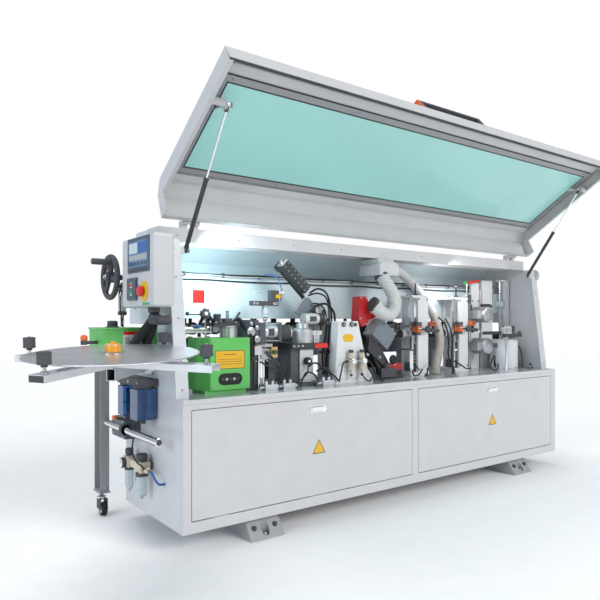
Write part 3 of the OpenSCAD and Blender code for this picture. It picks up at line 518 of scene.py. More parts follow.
def build_cabinet():
    FINISHES["deck"] = dict(colour=(0.56, 0.60, 0.62), rough=0.24, metal=0.45, coat=0.3, fleck=0.1, dirt=0.1,
                            edge=0.3, edge_colour=(0.8, 0.8, 0.8))
    paint("base_cabinet", "deck", z=(719.5, 721))
    lip = Piece("deck_lip")
    lip.box((-CABINET_X + 1, CABINET_X - 1), (-CABINET_Y - 4, -CABINET_Y + 1), (698, DECK_Z + 1),
            "cabinet_paint")
    lip.done(bevel=3, segments=3, slot="off_white_paint")
    feet = Piece("floor_beam_bolts")
    for side in (-1, 1):
        for x in (-62, 62):
            feet.bolt((side * FOOT_X + x, -346, 53), (0, -0.81, 0.58), 12, "gasket")
            feet.bolt((side * FOOT_X + x, 346, 53), (0, 0.81, 0.58), 12, "gasket")
        for y in (-350, 350):
            feet.bolt((side * FOOT_X, y, 15), UP, 13, "steel")
    feet.done(bevel=0)
    back = Piece("rear_service_panels")
    for low, high in ((-1480, -780), (-740, -40), (40, 740), (780, 1480)):
        back.box((low, high), (CABINET_Y, CABINET_Y + 2), (170, 660), "grey_paint")
        for x in (low + 20, (low + high) / 2, high - 20):
            for z in (186, 644):
                back.screw((x, CABINET_Y + 2, z), BACK, 5)
        for row in range(7):
            z = 250 + row * 18
            back.box((low + 220, high - 220), (CABINET_Y + 1, CABINET_Y + 5), (z, z + 5), "grey_paint")
            # Painted shade: a dark strip under each louvre slat stands for the shade in its slot.
            back.box((low + 222, high - 222), (CABINET_Y + 1, CABINET_Y + 3), (z - 5, z - 0.5), "gasket")
    back.done(bevel=1)


def build_doors():
    for side, centre, low, high in (("left", -745, -1494, -26), ("right", 768, 31, 1476)):
        body = f"door_{side}"
        trim = Piece(f"door_trim_{side}", body)
        front = -CABINET_Y
        for grow, depth, name in ((7, 0.5, "gasket"), (0, 0.9, "signal_yellow")):
            outline = [(centre - 37 - grow, 381 - grow * 0.6), (centre + 37 + grow, 381 - grow * 0.6),
                       (centre, 446 + grow)]
            trim.prism(outline, front - depth, front + 0.2, name, plane="xz")
        latch_x = -752 if side == "left" else 768
        trim.rod((latch_x - 40, front - 1, 616), (latch_x - 40, front - 4.6, 616), 6, "chrome")
        trim.rod((latch_x - 40, front - 4, 616), (latch_x - 40, front - 4.9, 616), 2.6, "gasket")
        for x in (low + 150, (low + high) / 2, high - 150):
            trim.rod((x - 45, front + 3, 152), (x + 45, front + 3, 152), 3, "steel", 16)
        trim.done(bevel=0)
        paint(f"door_{side}", "chrome", x=(latch_x - 63, latch_x + 63), y=(front - 3, front + 9),
              z=(595, 637))


# ---- hood and lid ----

LID_HINGE = Vector(joints["lid_hinge"]["pos_m"]) / MM
LID_OPEN = 116
SKIN_TOP = Vector((0, -277, 1493))
SKIN_FOOT = Vector((0, -370, 729))
ALONG = (SKIN_FOOT - SKIN_TOP).normalized()
INWARD = Vector((0, -ALONG.z, ALONG.y))
LID_TURN = turned("X", -LID_OPEN, LID_HINGE)
# Lid frame: X along the lid, Y down the skin from its upper fold, Z inwards from the outer face
LID = LID_TURN @ Matrix(((1, 0, 0, 0), (0, ALONG.y, INWARD.y, SKIN_TOP.y), (0, ALONG.z, INWARD.z, SKIN_TOP.z),
                         (0, 0, 0, 1)))
WINDOW_X = 1455
WINDOW_S = (110, 615)


def build_lid():
    glass = Piece("window_retainer", "lid").at(LID)
    top, foot = WINDOW_S
    inner, outer = 7, 40
    for low, high, x in ((top - inner, top, WINDOW_X + inner), (foot, foot + inner, WINDOW_X + inner)):
        glass.box((-x, x), (low, high), (9, 12), "gasket")
    for side in (-1, 1):
        edges = mirrored(side, WINDOW_X, WINDOW_X + inner)
        glass.box(edges, (top, foot), (9, 12), "gasket")
        edges = mirrored(side, WINDOW_X + inner, WINDOW_X + outer)
        glass.box(edges, (top - inner, foot + inner), (9, 11), "grey_paint")
        for row in range(5):
            glass.screw((side * (WINDOW_X + 22), 160 + row * 102, 11), UP, 5)
    for low, high in ((top - outer, top - inner), (foot + inner, foot + outer)):
        glass.box((-WINDOW_X - outer, WINDOW_X + outer), (low, high), (9, 11), "grey_paint")
        for k in range(17):
            glass.screw((-1440 + k * 180, (low + high) / 2, 11), UP, 5)
    # Painted shadow: thin dark strips along the outer edges of the top and foot retaining strips stand for
    # the shadow line there.
    for low, high in ((top - outer - 4, top - outer), (foot + outer, foot + outer + 4)):
        glass.box((-WINDOW_X - outer, WINDOW_X + outer), (low, high), (2, 10), "gasket")
    glass.done(bevel=0.8, slot="light_grey_paint")

    stiffeners_and_shade = Piece("lid_stiffeners_and_shade", "lid").at(LID)
    for side in (-1, 1):
        # Painted shade: dark strips inside the lid's side walls, between the rim and the window, stand for
        # the shadow there.
        edges = mirrored(side, 1499, 1536)
        stiffeners_and_shade.box(edges, (20, 750), (3, 5), "lid_painted_shade")
    stiffeners_and_shade.boxes("cabinet_paint", ((-1490, 1490), (22, 58), (3, 16)), ((-1490, 1490), (672, 716), (3, 14)))
    stiffeners_and_shade.box((-1500, 1500), (744, 750), (3, 60), "grey_paint")
    stiffeners_and_shade.box((-1530, 1530), (756, 765), (60, 72), "gasket")
    stiffeners_and_shade.done(bevel=1.5)

    grip = Piece("lid_handle_end", "lid").at(LID)
    grip.prism([(764, 0), (752, -78), (718, -78), (690, 0)], -345, -330.5, "orange", plane="yz")
    grip.box((-300, 150), (724, 746), (-79.4, -78), "rubber")
    for x in (-318, 168):
        grip.screw((x, 727, 3), UP, 7)
    grip.done(bevel=2)

    hinges = Piece("hinge_screws")
    for side in (-1, 1):
        for t in (-31, 31):
            for y in (-62, -70):
                hinges.screw((side * 1370 + t + (y + 66), y, 1594), UP, 4)
    hinges.done(bevel=0)


def build_struts():
    for side, sign in (("left", -1), ("right", 1)):
        x = sign * 1443
        foot = Vector((x, -180, 1430))
        head = Vector((x, -600, 2030))
        reach = (head - foot).normalized()
        tube = Piece(f"strut_collar_{side}", f"strut_tube_{side}")
        tube.lathe(foot + reach * 374, reach, [(11.2, 0), (13, 2), (13, 10), (8, 13)], "black_enamel")
        tube.lathe(foot + reach * 14, reach, [(9, 0), (12.5, 3), (12.5, 10), (11, 12)], "black_enamel")
        tube.done(bevel=0)
        rod = Piece(f"strut_eye_{side}", f"strut_rod_{side}")
        rod.lathe(head - reach * 34, reach, [(6, 0), (9, 2), (9, 20), (7, 23)], "black_plastic")
        rod.done(bevel=0)
        pins = Piece(f"strut_pin_{side}")
        pins.bolt(foot + Vector((-sign * 14, 0, 0)), (-sign, 0, 0), 9)
        pins.lathe(foot + Vector((sign * 94, 0, 8)), (-sign, 0, 0), [(46, 0), (46, 3), (42, 4)],
                   "cabinet_paint", 40)
        pins.lathe(foot + Vector((sign * 92, 0, 0)), (-sign, 0, 0), [(9, 0), (9, 82)], "steel")
        pins.done(bevel=0)
        plate = Piece(f"lid_strut_bracket_{side}", "lid")
        plate.bolt(head + Vector((-sign * 14, 0, 0)), (-sign, 0, 0), 9)
        arc = [(head.y + 24 * math.cos(math.radians(a)), head.z + 24 * math.sin(math.radians(a)))
               for a in range(-150, 61, 15)]
        outline = arc + [(-500, 2068), (-470, 2040), (-560, 1996)]
        span = sorted((x + sign * 9, x + sign * 12))
        plate.prism(sorted_ring(outline), span[0], span[1], "cabinet_paint", plane="yz")
        plate.done(bevel=0.8)


def around(count, r, start=0.0):
    """Points spaced evenly round a circle about the origin, start degrees from the first axis."""
    turns = [math.radians(start + 360 * k / count) for k in range(count)]
    return [(r * math.cos(turn), r * math.sin(turn)) for turn in turns]


def stadium(centre, half, r):
    """Two half circles of radius r, their centres half away from the middle on each side."""
    outline = []
    for side, start in ((1, -90), (-1, 90)):
        for turn in range(start, start + 181, 15):
            a = math.radians(turn)
            outline.append((centre[0] + side * half + r * math.cos(a), centre[1] + r * math.sin(a)))
    return outline


def mirrored(side, near, far):
    """The span from near to far on the side of the machine that side gives, -1 or 1."""
    return sorted((side * near, side * far))


def sorted_ring(outline):
    """The points of a convex outline in anticlockwise order."""
    cx = sum(a for a, b in outline) / len(outline)
    cy = sum(b for a, b in outline) / len(outline)
    return sorted(outline, key=lambda p: math.atan2(p[1] - cy, p[0] - cx))


def build_hood():
    trim = Piece("hood_trim")
    for side in (-1, 1):
        for z in (760, 900, 1100, 1300, 1440):
            lean = -285 + (z - 720) * 95 / 765
            trim.screw((side * 1507, lean, z), (0, -1, 0.12), 5)
        for y in (-150, 0, 200):
            trim.bolt((side * 1536, y, 744), (-side, 0, 0), 8, "gasket")
        for y in (90, 280):
            for z in (760, 1180, 1400):
                trim.screw((side * CABINET_X, y - 20, z), (side, 0, 0), 5)
    for k in range(9):
        trim.screw((-1440 + k * 360, -85, 1520), FRONT, 4.5)
        trim.screw((-1440 + k * 360, 296, 1230), BACK, 5)
    trim.done(bevel=0)


# ---- feed ----


def build_feed():
    paint("beam_columns", "chrome", x=(-1441, -1419), z=(730, 1399))
    paint("beam_columns", "chrome", x=(1419, 1441), z=(730, 1399))
    run = Piece("beam_cables", "pressure_beam")
    for z, r, y, finish in (
            (1346, 5, 99, "cable_black"),
            (1338, 4, 92, "cable_grey"),
            (1312, 4.5, 99, "cable_black"),
    ):
        sway = [(-1400 + k * 200, y + 2 * math.sin(k * 1.9 + z), z + 3 * math.sin(k * 2.3 + z))
                for k in range(15)]
        run.tube(sway, r, finish, sides=10, smooth=4)
    for k in range(12):
        x = -1320 + k * 240
        run.box((x, x + 8), (87, 106), (1330, 1354), "gasket")
    run.box((-1260, -1190), (102.5, 105.4), (1186, 1256), "signal_red")
    run.done(bevel=0)
    hubs = Piece("roller_hubs", "pressure_beam")
    for i in range(-19, 20):
        if i % 2 == 0:
            hubs.lathe((i * 72, 127, 1044), FRONT, [(12, 0), (12, 2), (9, 4)], "chrome", 20)
        hubs.lathe((i * 72, 137 if i % 2 == 0 else 173, 1044), FRONT, [(24, 0), (24, 1.2)], "cable_grey", 24)
    hubs.done(bevel=0)
    pads = Piece("chain_links")
    for i in range(-21, 22):
        pads.bolt((i * 68 + 34 if i < 21 else i * 68, 170, 990), UP, 3.2)
    pads.done(bevel=0)


# ---- units on the deck ----


def build_glue_unit():
    box = Piece("glue_box_trim")
    box.box((-1292, -1119), (-205.7, -204.5), (842, 936), "gasket")
    box.box((-1289, -1122), (-206.3, -205), (845, 933), "signal_yellow")
    for low, high, left, right in (
            (914, 917, -1240, -1170),
            (890, 891.5, -1278, -1134),
            (878, 879.5, -1278, -1134),
            (866, 867.5, -1270, -1142),
    ):
        box.box((left, right), (-206.8, -206), (low, high), "cable_black")
    rim = stadium((-1203, 790), 40, 30)
    box.prism(rim, -206.2, -196.4, "rubber", plane="xz")
    for k in range(5):
        finish = "steel" if k % 2 else "gasket"
        box.rod((-1247 + k * 22, -208, 790), (-1247 + k * 22, -200, 790), 8, finish, 16)
    for x in (-1306, -1098):
        for z in (750, 985):
            box.screw((x, -205, z), FRONT, 5)
    box.done(bevel=0.5)

    paint("glue_pot", "black_enamel", z=(1059, 1170))
    paint("glue_pot", "chrome", x=(-1213, -1203), z=(1079, 1170))
    paint("glue_pot", "chrome", x=(-1171, -1152), z=(1101, 1170))
    pot = Piece("glue_pot_fittings")
    for x in (-1250, -1135):
        pot.bolt((x, -142, 1078), UP, 6)
    pot.lathe((-1160, -110, 1052), UP, [(48, 0), (49, 3), (49, 6), (46, 8)], "steel")
    for x, y in around(8, 43, 20):
        pot.rod((x - 1160, y - 110, 1002), (x - 1160, y - 110, 1050), 3, "steel", 10)
    pot.lathe((-1225, -105, 1112), UP, [(20, 0), (21, 2), (21, 8), (15, 12)], "black_plastic", 24)
    pot.box((-1186, -1150), (-128, -100), (1078, 1096), "black_plastic")
    pot.lathe((-1162, -100, 1132), UP, [(9, 0), (11, 2), (11, 9), (8, 11)], "steel", 24)
    pot.done(bevel=0.8)
    cables = Piece("glue_cables")
    for r, route in (
            (11, [(-1128, -110, 1082), (-1104, -120, 1098), (-1086, -135, 1066), (-1078, -198, 1010),
                  (-1074, -200, 940), (-1076, -200, 880)]),
            (10, [(-1240, -90, 1080), (-1262, -85, 1110), (-1290, -80, 1105), (-1305, -60, 1060),
                  (-1305, -60, 1001)]),
    ):
        cables.tube(route, r, "rubber", rib=2, pitch=6)
    cables.done(bevel=0)


def build_infeed_guide():
    paint("tape_feeder", "chrome", x=(-1370, -1240), y=(-60, -10), z=(720, 1140))
    paint("tape_feeder", "aluminium", x=(-1403, -1241), z=(1023, 1033))
    guide = Piece("infeed_guides")
    for y, z in ((-84, 1046), (-60, 1040), (-30, 1046)):
        guide.rod((-1408, y, z), (-1268, y, z), 7, "chrome")
    guide.box((-1402, -1277), (-88, -20), (1031, 1037), "steel")
    guide.box((-1286, -1262), (-66, -40), (1102, 1142), "black_plastic")
    guide.rod((-1373, -70, 1124), (-1280, -70, 1124), 5, "steel")
    guide.lathe((-1386, -70, 1124), RIGHT, [(7, 0), (10, 3), (10, 12), (6, 15)], "black_plastic")
    guide.lathe((-1330, -92, 1053), UP, [(20, 0), (22, 3), (22, 8), (18, 11)], "air_blue")
    guide.lathe((-1284, -100, 1124), BACK, [(9, 0), (10, 4), (10, 20)], "label_white")
    for x, z in around(7, 21):
        guide.lathe((x - 1284, -96, z + 1124), BACK, [(5, 0), (8, 3), (8, 14), (5, 17)], "black_plastic", 14)
    guide.lathe((-1284, -94, 1124), BACK, [(18, 0), (20, 3), (20, 34)], "black_plastic")
    guide.done(bevel=0.6)


def build_tape_feeder():
    paint("tape_feeder", "dark_grey_paint", x=(-1100, -964.5))
    paint("tape_feeder", "aluminium", x=(-965, -877.5))
    paint("tape_feeder", "dark_grey_paint", x=(-878, -860.5), z=(960, 1100))
    paint("tape_feeder", "black_plastic", x=(-1040, -840), z=(1165, 1260))
    motor = Piece("tape_motor_trim").at(Matrix.Translation((0, -120, 1020)))
    for k in range(9):
        fin = [(44, 0), (45.4, 1), (45.4, 3.4), (44, 4.4)]
        motor.lathe((-962 + k * 9, 0, 5), RIGHT, fin, "aluminium", 48)
    motor.box((-940, -905), (-48, -40), (-15, 25), "black_plastic")
    motor.lathe((-862, 0, 0), RIGHT, [(43, 0), (45, 3), (45, 62), (41, 78)], "black_plastic", 40)
    for k in range(6):
        motor.lathe((-784 + k * 1.2, 0, 0), RIGHT, [(38 - k * 6, 0), (38 - k * 6, 1)], "gasket", 36)
    for k in range(6):
        motor.lathe((-848 + k * 9, 0, 0), RIGHT, [(45, 0), (46, 1), (46, 4), (45, 5)], "gasket", 40)
    for y in (-46, 46):
        for z in (-42, 52):
            motor.bolt((-861, y, z), RIGHT, 4)
            motor.rod((-965, y, z), (-877, y, z), 3, "steel", 12)
    for z in (-45, -20, 5, 30, 55):
        motor.box((-1022.5, -1018), (-51, -40), (z - 6, z + 6), "steel")
    motor.done(bevel=0.6)

    head = Piece("tape_magazine_parts")
    for x, z, r in ((-1072, 1030, 24), (-1034, 990, 18), (-1070, 1072, 10), (-1034, 1050, 12)):
        head.lathe((x, -192, z), FRONT, [(r, 0), (r, 6), (r * 0.55, 8), (r * 0.5, 14)], "steel")
    head.box((-1044, -1000), (-186, -168), (905, 952), "cast_aluminium")
    head.box((-1000, -946), (-182, -140), (880, 936), "steel")
    head.box((-944, -905), (-196, -150), (888, 946), "brass")
    head.rod((-924, -198, 918), (-924, -206, 918), 13, "black_plastic")
    head.rod((-1010, -190, 868), (-880, -200, 800), 5, "black_enamel")
    head.rod((-975, -195, 925), (-900, -200, 850), 6, "black_plastic")
    for k in range(6):
        head.bolt((-1036 + k * 18, -183, 872 + 9 * (k % 2)), FRONT, 5)
    head.box((-1095, -1030), (-182, -150), (724, 900), "black_enamel")
    head.rod((-1012, -176, 724), (-1012, -176, 905), 9, "chrome")
    head.rod((-986, -182, 724), (-986, -182, 880), 6, "chrome")
    head.box((-950, -905), (-176, -120), (740, 880), "dark_grey_paint")
    for x in (-1072, -1052):
        head.rod((x, -183, 740), (x, -187, 880), 2.5, "cable_black", 10)
    head.done(bevel=1)

    sensor = Piece("sensor_parts")
    paint("tape_feeder", "cable_grey", x=(-955, -910), z=(1069, 1168))
    sensor.lathe((-933, -115, 1108), UP, [(17.5, 0), (18.5, 2), (18.5, 10), (17.5, 12)], "back_paint")
    sensor.lathe((-933, -115, 1125), UP, [(17.4, 0), (18.2, 1), (18.2, 30), (17.4, 31)], "back_paint")
    sensor.lathe((-933, -115, 1086), UP, [(10, 0), (13, 3), (13, 14), (9, 20)], "bowl_clear")
    for x in (-1010, -990, -880, -866):
        sensor.bolt((x, -128, 1182), FRONT, 7, "chrome")
    sensor.box((-874, -846), (-138, -112), (1212, 1232), "signal_yellow")
    sensor.rod((-868, -118, 1244), (-812, -118, 1244), 9, "label_white")
    sensor.bolt((-812, -118, 1244), RIGHT, 11, "cast_aluminium")
    sensor.rod((-828, -118, 1200), (-828, -118, 1268), 8, "chrome")
    sensor.tube([(-1018, -116, 1222), (-1000, -116, 1240), (-972, -116, 1246), (-946, -116, 1225),
                 (-934, -115, 1192)], 3, "bowl_clear", sides=10)
    sensor.tube([(-828, -118, 1268), (-836, -112, 1310), (-842, -60, 1345), (-838, 40, 1352)], 3.5,
                "air_blue", sides=10)
    sensor.done(bevel=0.5)


def build_press_unit():
    paint("press_unit", "black_enamel", z=(925, 963))
    paint("press_unit", "dark_grey_paint", z=(720, 925))
    trim = Piece("press_unit_trim")
    trim.boxes("signal_red", ((-644, -552), (-192, -188), (932, 958)), ((-553, -550), (-190, 20), (932, 958)))
    trim.at(Matrix.Translation((-684, -125, 968)))
    for k in range(9):
        trim.lathe((0, 0, k * 7), UP, [(58, 0), (60, 0.8), (60, 3), (58, 3.8)], "cast_aluminium", 48)
    trim.lathe((0, 0, 65), UP, [(58, 0), (57, 3), (50, 10), (37, 14), (35, 36), (28, 41)], "aluminium", 48)
    trim.lathe((0, 0, 104), UP, [(10, 0), (10, 7), (7, 9)], "steel")
    for x, y in around(4, 49, 45):
        trim.bolt((x, y, 71), UP, 4.5)
    trim.at(Matrix.Identity(4))
    for z in (980, 1000, 1018):
        trim.bolt((-600, -150, z), FRONT, 5)
    for x in (-790, -760, -730):
        trim.bolt((x, -190, 945), FRONT, 6)
    trim.box((-735, -640), (-170, -150), (740, 925), "cast_aluminium")
    trim.rod((-690, -176, 860), (-690, -196, 860), 22, "rubber")
    trim.rod((-690, -190, 860), (-690, -200, 860), 8, "chrome")
    trim.done(bevel=0.8)


RAIL = Matrix.Translation((-700, -40, 1335)) @ Matrix.Rotation(math.radians(43), 4, "Y")


def build_end_cutter():
    paint("end_cut_rail", "pure_white", z=(719, 1086))
    rail = Piece("end_cut_rail_trim").at(RAIL)
    for k in range(7):
        rail.screw((-100 + k * 31, -60, 17), FRONT, 4)
        rail.screw((-100 + k * 31, -60, -17), FRONT, 4)
    rail.box((-115, 103), (-61.5, -59.5), (-7, 7), "gasket")
    rail.box((-125, -114), (-58, -8), (-25, 25), "aluminium")
    rail.rod((-124, -34, 0), (-142, -34, 0), 9, "chrome")
    rail.done(bevel=0.7)
    saw = Piece("trim_saw_motor", "trim_saw").at(RAIL)
    saw.box((147, 298), (-5.8, -4.5), (-122, 2), "slate_paint")
    for x, z in ((159, -112), (285, -112), (285, -10)):
        saw.screw((x, -5.8, z), FRONT, 4.5)
    saw.at(RAIL @ Matrix.Translation((257, -36, -84)) @ Matrix.Rotation(math.radians(-43), 4, "Y"))
    saw.lathe((-76, 0, 0), RIGHT, [(27, 0), (33, 5), (33, 98), (31, 102)], "pure_white", 40)
    saw.lathe((25, 0, 0), RIGHT, [(30, 0), (32.6, 3), (32.6, 46), (24, 51)], "black_plastic", 40)
    for k in range(6):
        saw.lathe((31 + k * 7, 0, 0), RIGHT, [(32.6, 0), (33.6, 0.6), (33.6, 3), (32.6, 3.6)], "gasket", 40)
    saw.box((-46, 0), (-37, -28), (-14, 14), "black_plastic")
    saw.done(bevel=0.6)
    hoses = Piece("end_cutter_hoses")
    for r, route in (
            (6, [(-560, -30, 1250), (-520, -60, 1278), (-470, -80, 1250), (-450, -95, 1160),
                 (-445, -98, 1040), (-450, -100, 900), (-470, -110, 800), (-500, -130, 740)]),
            (5, [(-572, -30, 1236), (-530, -70, 1250), (-480, -92, 1220), (-466, -100, 1120),
                 (-470, -100, 980), (-486, -100, 860), (-520, -120, 752)]),
            (5, [(-560, -60, 1190), (-520, -90, 1180), (-490, -100, 1120), (-492, -98, 1010),
                 (-508, -90, 900), (-530, -120, 770)]),
            (7, [(-548, -60, 1170), (-500, -105, 1188), (-440, -110, 1140), (-425, -105, 1060),
                 (-420, -100, 960), (-424, -105, 860), (-440, -120, 790)]),
            (6, [(-576, -55, 1150), (-545, -90, 1120), (-528, -95, 1070), (-520, -96, 1000)]),
            (6, [(-640, -200, 800), (-600, -215, 822), (-560, -215, 800), (-545, -215, 752),
                 (-548, -214, 722)]),
            (5, [(-700, -205, 830), (-660, -215, 850), (-600, -220, 815), (-530, -226, 770),
                 (-500, -226, 742)]),
    ):
        hoses.tube(route, r, "cable_black", sides=10)
    hoses.done(bevel=0)
    clamp = Piece("hose_clamps")
    for z, x in ((1065, -452), (900, -450)):
        clamp.box((x - 62, x + 40), (-112, -58), (z - 6, z + 6), "gasket")
    clamp.box((-540, -500), (-70, -58), (1100, 1180), "cast_aluminium")
    clamp.done(bevel=0.6)


def build_casting():
    trim = Piece("tracking_trim")
    for x in (-452, -392):
        trim.lathe((x, -215, 1066), FRONT, [(15, 0), (15, 6), (11, 8)], "black_plastic")
        trim.lathe((x, -221, 1066), FRONT, [(7, 0), (7, 4)], "chrome")
    trim.lathe((-360, -213, 1064), FRONT, [(11, 0), (11, 6), (7, 8)], "black_plastic")
    trim.prism(stadium((-417, 986), 18, 23), -216.2, -214.5, "signal_yellow", plane="xz")
    for x in (-500, -430, -330, -255):
        trim.bolt((x, -185, 742), UP, 8)
    trim.box((-528, -228), (-216, -214), (746, 749), "cast_aluminium")
    trim.done(bevel=0.5)
    valves = Piece("air_fittings")
    paint("air_valves", "aluminium", x=(-1100, -540))
    for x in (-415, -330):
        valves.lathe((x, -240, 862), UP, [(21, 0), (21, 4)], "black_plastic")
        valves.lathe((x, -240, 900), UP, [(13, 0), (15, 3), (15, 14), (10, 18)], "black_plastic")
        valves.lathe((x, -262, 851), FRONT, [(16, 0), (17, 2), (17, 7), (15, 8)], "chrome")
        valves.lathe((x, -270.2, 851), FRONT, [(14, 0), (14, 0.6)], "label_white")
        valves.rod((x + 20, -240, 851), (x + 40, -240, 851), 8, "black_plastic")
        valves.rod((x - 20, -240, 851), (x - 38, -240, 851), 8, "black_plastic")
        valves.lathe((x, -240, 778), DOWN, [(7, 0), (9, 3), (9, 12), (5, 16)], "black_plastic")
    for x in (-985, -870, -600):
        for t in (-20, 20):
            valves.lathe((x + t, -237, 770), UP, [(10, 0), (11, 2), (11, 9), (7, 12)], "black_plastic")
        for t in (-52, 52):
            valves.lathe((x + t, -237, 736), (t, 0, 0), [(8, 0), (10, 2), (10, 11), (6, 13)], "chrome")
    for start, end in (((-395, -250, 851), (-350, -250, 851)), ((-377, -240, 851), (-368, -240, 851))):
        valves.rod(start, end, 5, "cable_grey")
    valves.done(bevel=0.5)
    lines = Piece("air_lines")
    for r, route in (
            (4.5, [(-455, -240, 851), (-482, -245, 838), (-500, -250, 790), (-512, -245, 735)]),
            (4.5, [(-292, -240, 851), (-262, -250, 830), (-236, -256, 770), (-190, -262, 726),
                   (-150, -240, 724)]),
            (4.5, [(-345, -250, 780), (-320, -262, 742), (-290, -266, 732), (-262, -262, 760)]),
            (4, [(-933, -230, 745), (-900, -236, 790), (-880, -215, 830), (-900, -190, 880)]),
            (4, [(-818, -236, 740), (-770, -240, 770), (-720, -220, 800), (-700, -200, 850)]),
            (5, [(-650, -236, 740), (-690, -240, 790), (-730, -225, 800), (-752, -215, 760),
                 (-760, -210, 724)]),
    ):
        lines.tube(route, r, "cable_black", 10)
    lines.done(bevel=0)


def build_trimmer():
    paint("trim_unit", "cast_aluminium", x=(-170, 20), z=(860, 1100), y=(-175, -75))
    paint("trim_unit", "black_enamel", z=(719, 900))
    paint("trim_unit", "black_enamel", y=(-61, -37))
    block = Matrix.Translation((-80, -95, 1005)) @ Matrix.Rotation(math.radians(38), 4, "Y")
    motor = Piece("trim_motor_plate").at(block)
    motor.box((-82, 82), (-80, -74), (-64, 64), "slate_paint")
    for x in (-68, 68):
        for z in (-50, 50):
            motor.screw((x, -80, z), FRONT, 5)
    motor.rod((55, -60, 70), (55, -20, 70), 14, "chrome")
    motor.at(Matrix.Identity(4))
    motor.rod((-62, -190, 1108), (-62, -150, 1108), 17, "cast_aluminium")
    motor.rod((-62, -196, 1108), (-62, -190, 1108), 10, "gasket")
    motor.rod((-30, -190, 1090), (-30, -150, 1090), 12, "black_plastic")
    motor.done(bevel=1.5)
    arms = Piece("trim_arms")
    arms.prism([(-20, 1060), (90, 1075), (95, 1045), (40, 1000), (10, 930), (-20, 940)], -150, -120,
               "black_enamel", plane="xz")
    arms.prism([(-205, 985), (-150, 930), (-60, 830), (-78, 800), (-215, 905)], -170, -140, "black_enamel",
               plane="xz")
    arms.rod((40, -158, 1052), (182, -158, 1052), 9, "black_plastic")
    arms.box((60, 96), (-172, -146), (1036, 1070), "black_plastic")
    arms.box((-220, -160), (-180, -120), (724, 800), "black_enamel")
    arms.lathe((-14, -178, 842), FRONT, [(30, 0), (30, 10), (22, 14)], "rubber")
    arms.box((20, 130), (-120, -60), (768, 812), "red")
    arms.box((20, 130), (-120, -60), (745, 768), "black_enamel")
    arms.rod((60, -122, 800), (60, -122, 860), 6, "chrome")
    arms.box((-120, 10), (-190, -150), (735, 790), "black_plastic")
    arms.lathe((-60, -170, 790), UP, [(22, 0), (22, 24), (12, 30)], "black_plastic")
    arms.bolt((-225, -175, 880), FRONT, 9)
    arms.bolt((-120, -171, 860), FRONT, 9)
    arms.done(bevel=1.4)
    hood = Piece("dust_hood_trim")
    for x, z in ((-254, 1226), (-213, 1226), (-262, 1100), (-212, 1066), (-130, 1120)):
        hood.bolt((x, -151, z), FRONT, 6)
    hood.lathe((-190, -186, 1188), (0.88, -0.13, -0.45), [(46, -10), (46, 10), (43, 12)], "gasket")
    hood.done(bevel=0)


def build_hoses():
    hose = Piece("dust_hoses_ribbed")
    hose.tube([(-185, -196, 1185), (-140, -205, 1140), (-80, -210, 1125), (-20, -195, 1160), (5, -170, 1240),
               (-15, -130, 1320), (-30, -90, 1378)], 42, "grey_hose", sides=28, rib=3.5, pitch=11)
    hose.tube([(85, -40, 1425), (200, -10, 1425), (340, 40, 1385), (450, 62, 1325), (550, 62, 1245),
               (620, 45, 1140)], 31, "grey_hose", sides=28, rib=3, pitch=11)
    # The lower length of this hose takes a darker brown finish: its brown tone, darkened as painted shade for
    # the shadow it hangs in.
    hose.tube([(620, 45, 1140), (625, 0, 1030), (580, -55, 930), (510, -95, 840), (472, -110, 770),
               (468, -112, 723)], 31, "brown_hose", sides=28, rib=3, pitch=10)
    hose.prism([(-78, 1378), (92, 1378), (92, 1440), (70, 1462), (-55, 1462), (-78, 1440)], -130, 60,
               "duct_shell", plane="xz")
    hose.boxes("duct_shell", ((-80, 95), (-134, 60), (1376, 1384)), ((-60, 75), (-100, 58), (1456, 1484)))
    for x in (-62, -20, 36, 78):
        hose.screw((x, -134, 1380), FRONT, 4)
    hose.lathe((-29, -93, 1372), (-0.2, 0.45, 0.87), [(46, -8), (46, 8)], "gasket")
    hose.done(bevel=0, replaces=["dust_hoses"], slot="grey_hose")


